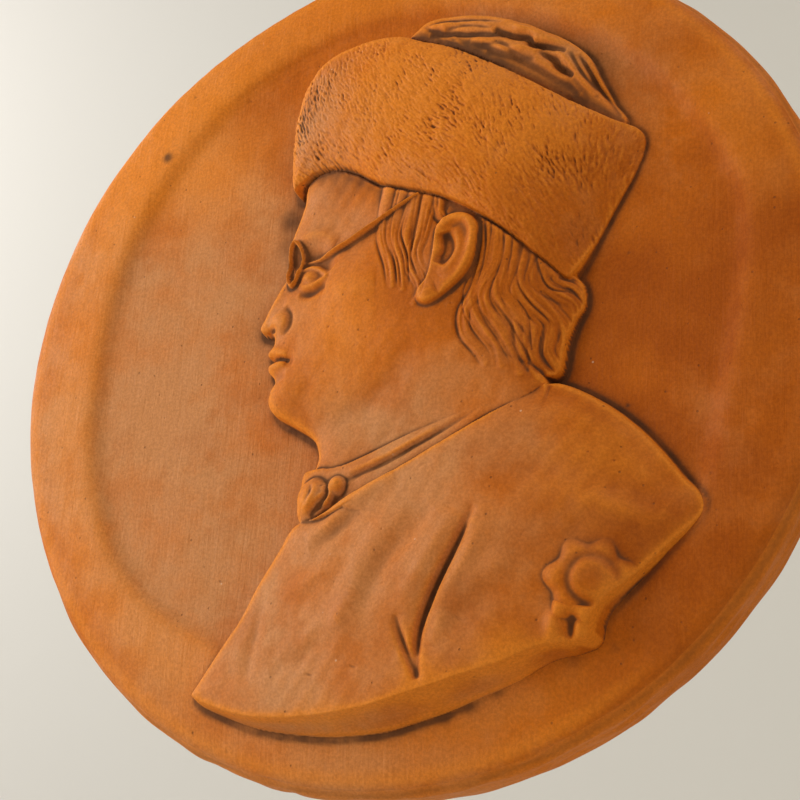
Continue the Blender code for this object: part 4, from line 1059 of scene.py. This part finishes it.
def clay_material(name, tooling):
    """Fired clay: mottled orange, grained and pitted, with dirt and painted shade in its hollows, and paler edges and
    high parts that are partly rubbed and partly painted light.
    """
    material = bpy.data.materials.new(name)
    material.use_nodes = True
    tree = material.node_tree
    shader = tree.nodes["Principled BSDF"]

    def node(kind, **settings):
        made = tree.nodes.new(kind)
        for key, value in settings.items():
            setattr(made, key, value)
        return made

    def mark(attribute):
        return node("ShaderNodeAttribute", attribute_name=attribute).outputs["Fac"]

    def noise(vector, scale, detail=4.0, roughness=0.55):
        made = node("ShaderNodeTexNoise")
        made.inputs["Scale"].default_value = scale
        made.inputs["Detail"].default_value = detail
        made.inputs["Roughness"].default_value = roughness
        tree.links.new(vector, made.inputs["Vector"])
        return made.outputs["Fac"]

    def mapped(value, low, high, to_low=0.0, to_high=1.0):
        made = node("ShaderNodeMapRange", interpolation_type="SMOOTHSTEP")
        for socket, number in zip(made.inputs[1:5], (low, high, to_low, to_high)):
            socket.default_value = number
        tree.links.new(value, made.inputs["Value"])
        return made.outputs["Result"]

    def maths(operation, first, second, third=None):
        made = node("ShaderNodeMath", operation=operation, use_clamp=False)
        for socket, value in zip(made.inputs, (first, second, third)):
            if isinstance(value, (int, float)):
                socket.default_value = value
            elif value is not None:
                tree.links.new(value, socket)
        return made.outputs["Value"]

    def mixed(share, first, second, blend="MIX"):
        made = node("ShaderNodeMix", data_type="RGBA", blend_type=blend, clamp_factor=True)
        for socket, value in zip((made.inputs[0], made.inputs[6], made.inputs[7]), (share, first, second)):
            if isinstance(value, (int, float, tuple)):
                socket.default_value = value
            else:
                tree.links.new(value, socket)
        return made.outputs[2]

    def stretched(vector, scale, turn):
        made = node("ShaderNodeMapping")
        made.inputs["Scale"].default_value = scale
        made.inputs["Rotation"].default_value = turn
        tree.links.new(vector, made.inputs["Vector"])
        return made.outputs["Vector"]

    place = node("ShaderNodeTexCoord").outputs["Object"]
    broad = noise(place, 42, 3)
    patches = noise(place, 210, 5, 0.6)
    grain = noise(place, 2600, 4, 0.7)
    dust = noise(place, 900, 5, 0.7)
    dirt_and_shade = mark("dirt_and_shade")
    raised = mark("raised")
    mottle = maths("ADD", mapped(broad, 0.30, 0.72, -0.16, 0.20), mapped(patches, 0.35, 0.70, -0.12, 0.14))
    colour = mixed(maths("SUBTRACT", mark("dusty"), mottle), CLAY_ORANGE, CLAY_DUSTY)
    colour = mixed(mapped(dust, 0.52, 0.78, 0.0, 0.22), colour, CLAY_DUSTY)
    # Deeper brown clay, partly painted shade
    colour = mixed(maths("ADD", mark("brown_and_shade"), mottle), colour, CLAY_BROWN_AND_SHADE)
    # Paler rubbed clay, partly painted light on high parts and edges
    colour = mixed(mapped(raised, 0.05, 0.9, 0.0, 0.7), colour, CLAY_RUBBED_AND_LIT)
    colour = mixed(mapped(grain, 0.30, 0.72, 0.60, 0.0), colour, (0.62, 0.56, 0.50, 1.0), "MULTIPLY")
    # Dirt and painted shade from the mark, towards the dark clay colour
    darkened = maths("MULTIPLY", mapped(dirt_and_shade, 0.04, 0.85), mapped(patches, 0.22, 0.62, 0.55, 1.0))
    colour = mixed(maths("MULTIPLY", darkened, 0.88), colour, CLAY_DIRT_AND_SHADE)

    def specks(scale, size, rarity):
        made = node("ShaderNodeTexVoronoi")
        made.inputs["Scale"].default_value = scale
        tree.links.new(place, made.inputs["Vector"])
        chosen = node("ShaderNodeSeparateColor")
        tree.links.new(made.outputs["Color"], chosen.inputs["Color"])
        spot = mapped(made.outputs["Distance"], 0.5 * size, size, 1.0, 0.0)
        return maths("MULTIPLY", spot, mapped(chosen.outputs[0], rarity, rarity + 0.02))

    pits = specks(760, 0.13, 0.84)
    crumbs = specks(430, 0.08, 0.93)
    colour = mixed(maths("MULTIPLY", pits, 0.4), colour, CLAY_DIRT_AND_SHADE)
    colour = mixed(maths("MULTIPLY", crumbs, 0.5), colour, CLAY_CRUMB)
    tree.links.new(colour, shader.inputs["Base Color"])

    sheen = maths("ADD", mapped(patches, 0.3, 0.7, 0.52, 0.66), mapped(dirt_and_shade, 0.1, 0.8, 0.0, 0.2))
    tree.links.new(sheen, shader.inputs["Roughness"])
    shader.inputs["Metallic"].default_value = 0.0
    shader.inputs["Specular IOR Level"].default_value = 0.12

    relief = maths("MULTIPLY_ADD", grain, 0.5, maths("MULTIPLY", dust, 0.9))
    relief = maths("ADD", relief, maths("MULTIPLY", pits, -1.1))
    if tooling:
        lines = noise(stretched(place, (2400.0, 60.0, 150.0), (0.0, radians(-6), 0.0)), 1.0, 3, 0.6)
        relief = maths("ADD", relief, maths("MULTIPLY", lines, 1.1 * tooling))
    bump = node("ShaderNodeBump")
    bump.inputs["Strength"].default_value = 1.0
    bump.inputs["Distance"].default_value = GRAIN_DEPTH
    tree.links.new(relief, bump.inputs["Height"])
    tree.links.new(bump.outputs["Normal"], shader.inputs["Normal"])
    return material


def plain_material(name, colour, roughness):
    """A plain pale surface for what stands round the object."""
    material = bpy.data.materials.new(name)
    material.use_nodes = True
    shader = material.node_tree.nodes["Principled BSDF"]
    shader.inputs["Base Color"].default_value = colour
    shader.inputs["Roughness"].default_value = roughness
    return material


def add_stage():
    """A pale floor that runs up into a pale wall far behind the roundel."""
    bend = [
        (STAGE_BACK - STAGE_BEND * (1 - sin(turn)), STAGE_FLOOR + STAGE_BEND * (1 - cos(turn)))
        for turn in np.linspace(0, pi / 2, 16)
    ]
    line = [(STAGE_FRONT, STAGE_FLOOR)] + bend + [(STAGE_BACK, STAGE_TOP)]
    corners = [(side * STAGE_HALF_WIDTH, back, up) for back, up in line for side in (-1, 1)]
    faces = [(2 * i, 2 * i + 1, 2 * i + 3, 2 * i + 2) for i in range(len(line) - 1)]
    mesh = bpy.data.meshes.new("stage")
    mesh.from_pydata(corners, [], faces)
    mesh.shade_smooth()
    mesh.materials.append(plain_material("stage", STAGE_COLOUR, 0.9))
    stage = bpy.data.objects.new("stage", mesh)
    bpy.context.scene.collection.objects.link(stage)


def add_light(name, place, aim, size, power, colour):
    """A round soft light that looks at a place."""
    data = bpy.data.lights.new(name, "AREA")
    data.shape = "DISK"
    data.size = size
    data.energy = power
    data.color = colour
    light = bpy.data.objects.new(name, data)
    light.location = place
    light.rotation_euler = (Vector(aim) - Vector(place)).to_track_quat("-Z", "Y").to_euler()
    bpy.context.scene.collection.objects.link(light)


def add_camera():
    """The camera at the photograph's viewing angle."""
    data = bpy.data.cameras.new("camera")
    data.lens = CAMERA_LENS
    data.sensor_width = 36.0
    data.clip_start = 0.01
    camera = bpy.data.objects.new("camera", data)
    back = (Vector(CAMERA_PLACE) - Vector(CAMERA_AIM)).normalized()
    right = Vector(CAMERA_UP).cross(back).normalized()
    up = back.cross(right)
    turned = Matrix((right, up, back)).transposed().to_4x4()
    camera.matrix_world = Matrix.Translation(CAMERA_PLACE) @ turned
    bpy.context.scene.collection.objects.link(camera)
    bpy.context.scene.camera = camera


def build():
    coarser = 1
    lattice = Lattice(FIGURE_BOX, FIGURE_STEP * coarser)
    fine = Lattice(BAND_BOX, BAND_STEP * coarser)
    for layer in (lattice, fine):
        layer.carve(slice(None), 0.035 * uneven(layer.x, layer.y, 14, 3.5, WAVER_SEED + 3))
        carve_fur(layer)
        carve_marks(layer)
    carve_hair(lattice)
    add_figure(lattice, fine)
    add_plate(lattice)
    add_stage()
    for light in LIGHTS:
        add_light(*light)
    world = bpy.data.worlds.new("studio")
    world.use_nodes = True
    world.node_tree.nodes["Background"].inputs["Color"].default_value = WORLD_COLOUR
    world.node_tree.nodes["Background"].inputs["Strength"].default_value = WORLD_STRENGTH
    bpy.context.scene.world = world
    bpy.context.scene.view_settings.view_transform = "Standard"
    add_camera()


build()
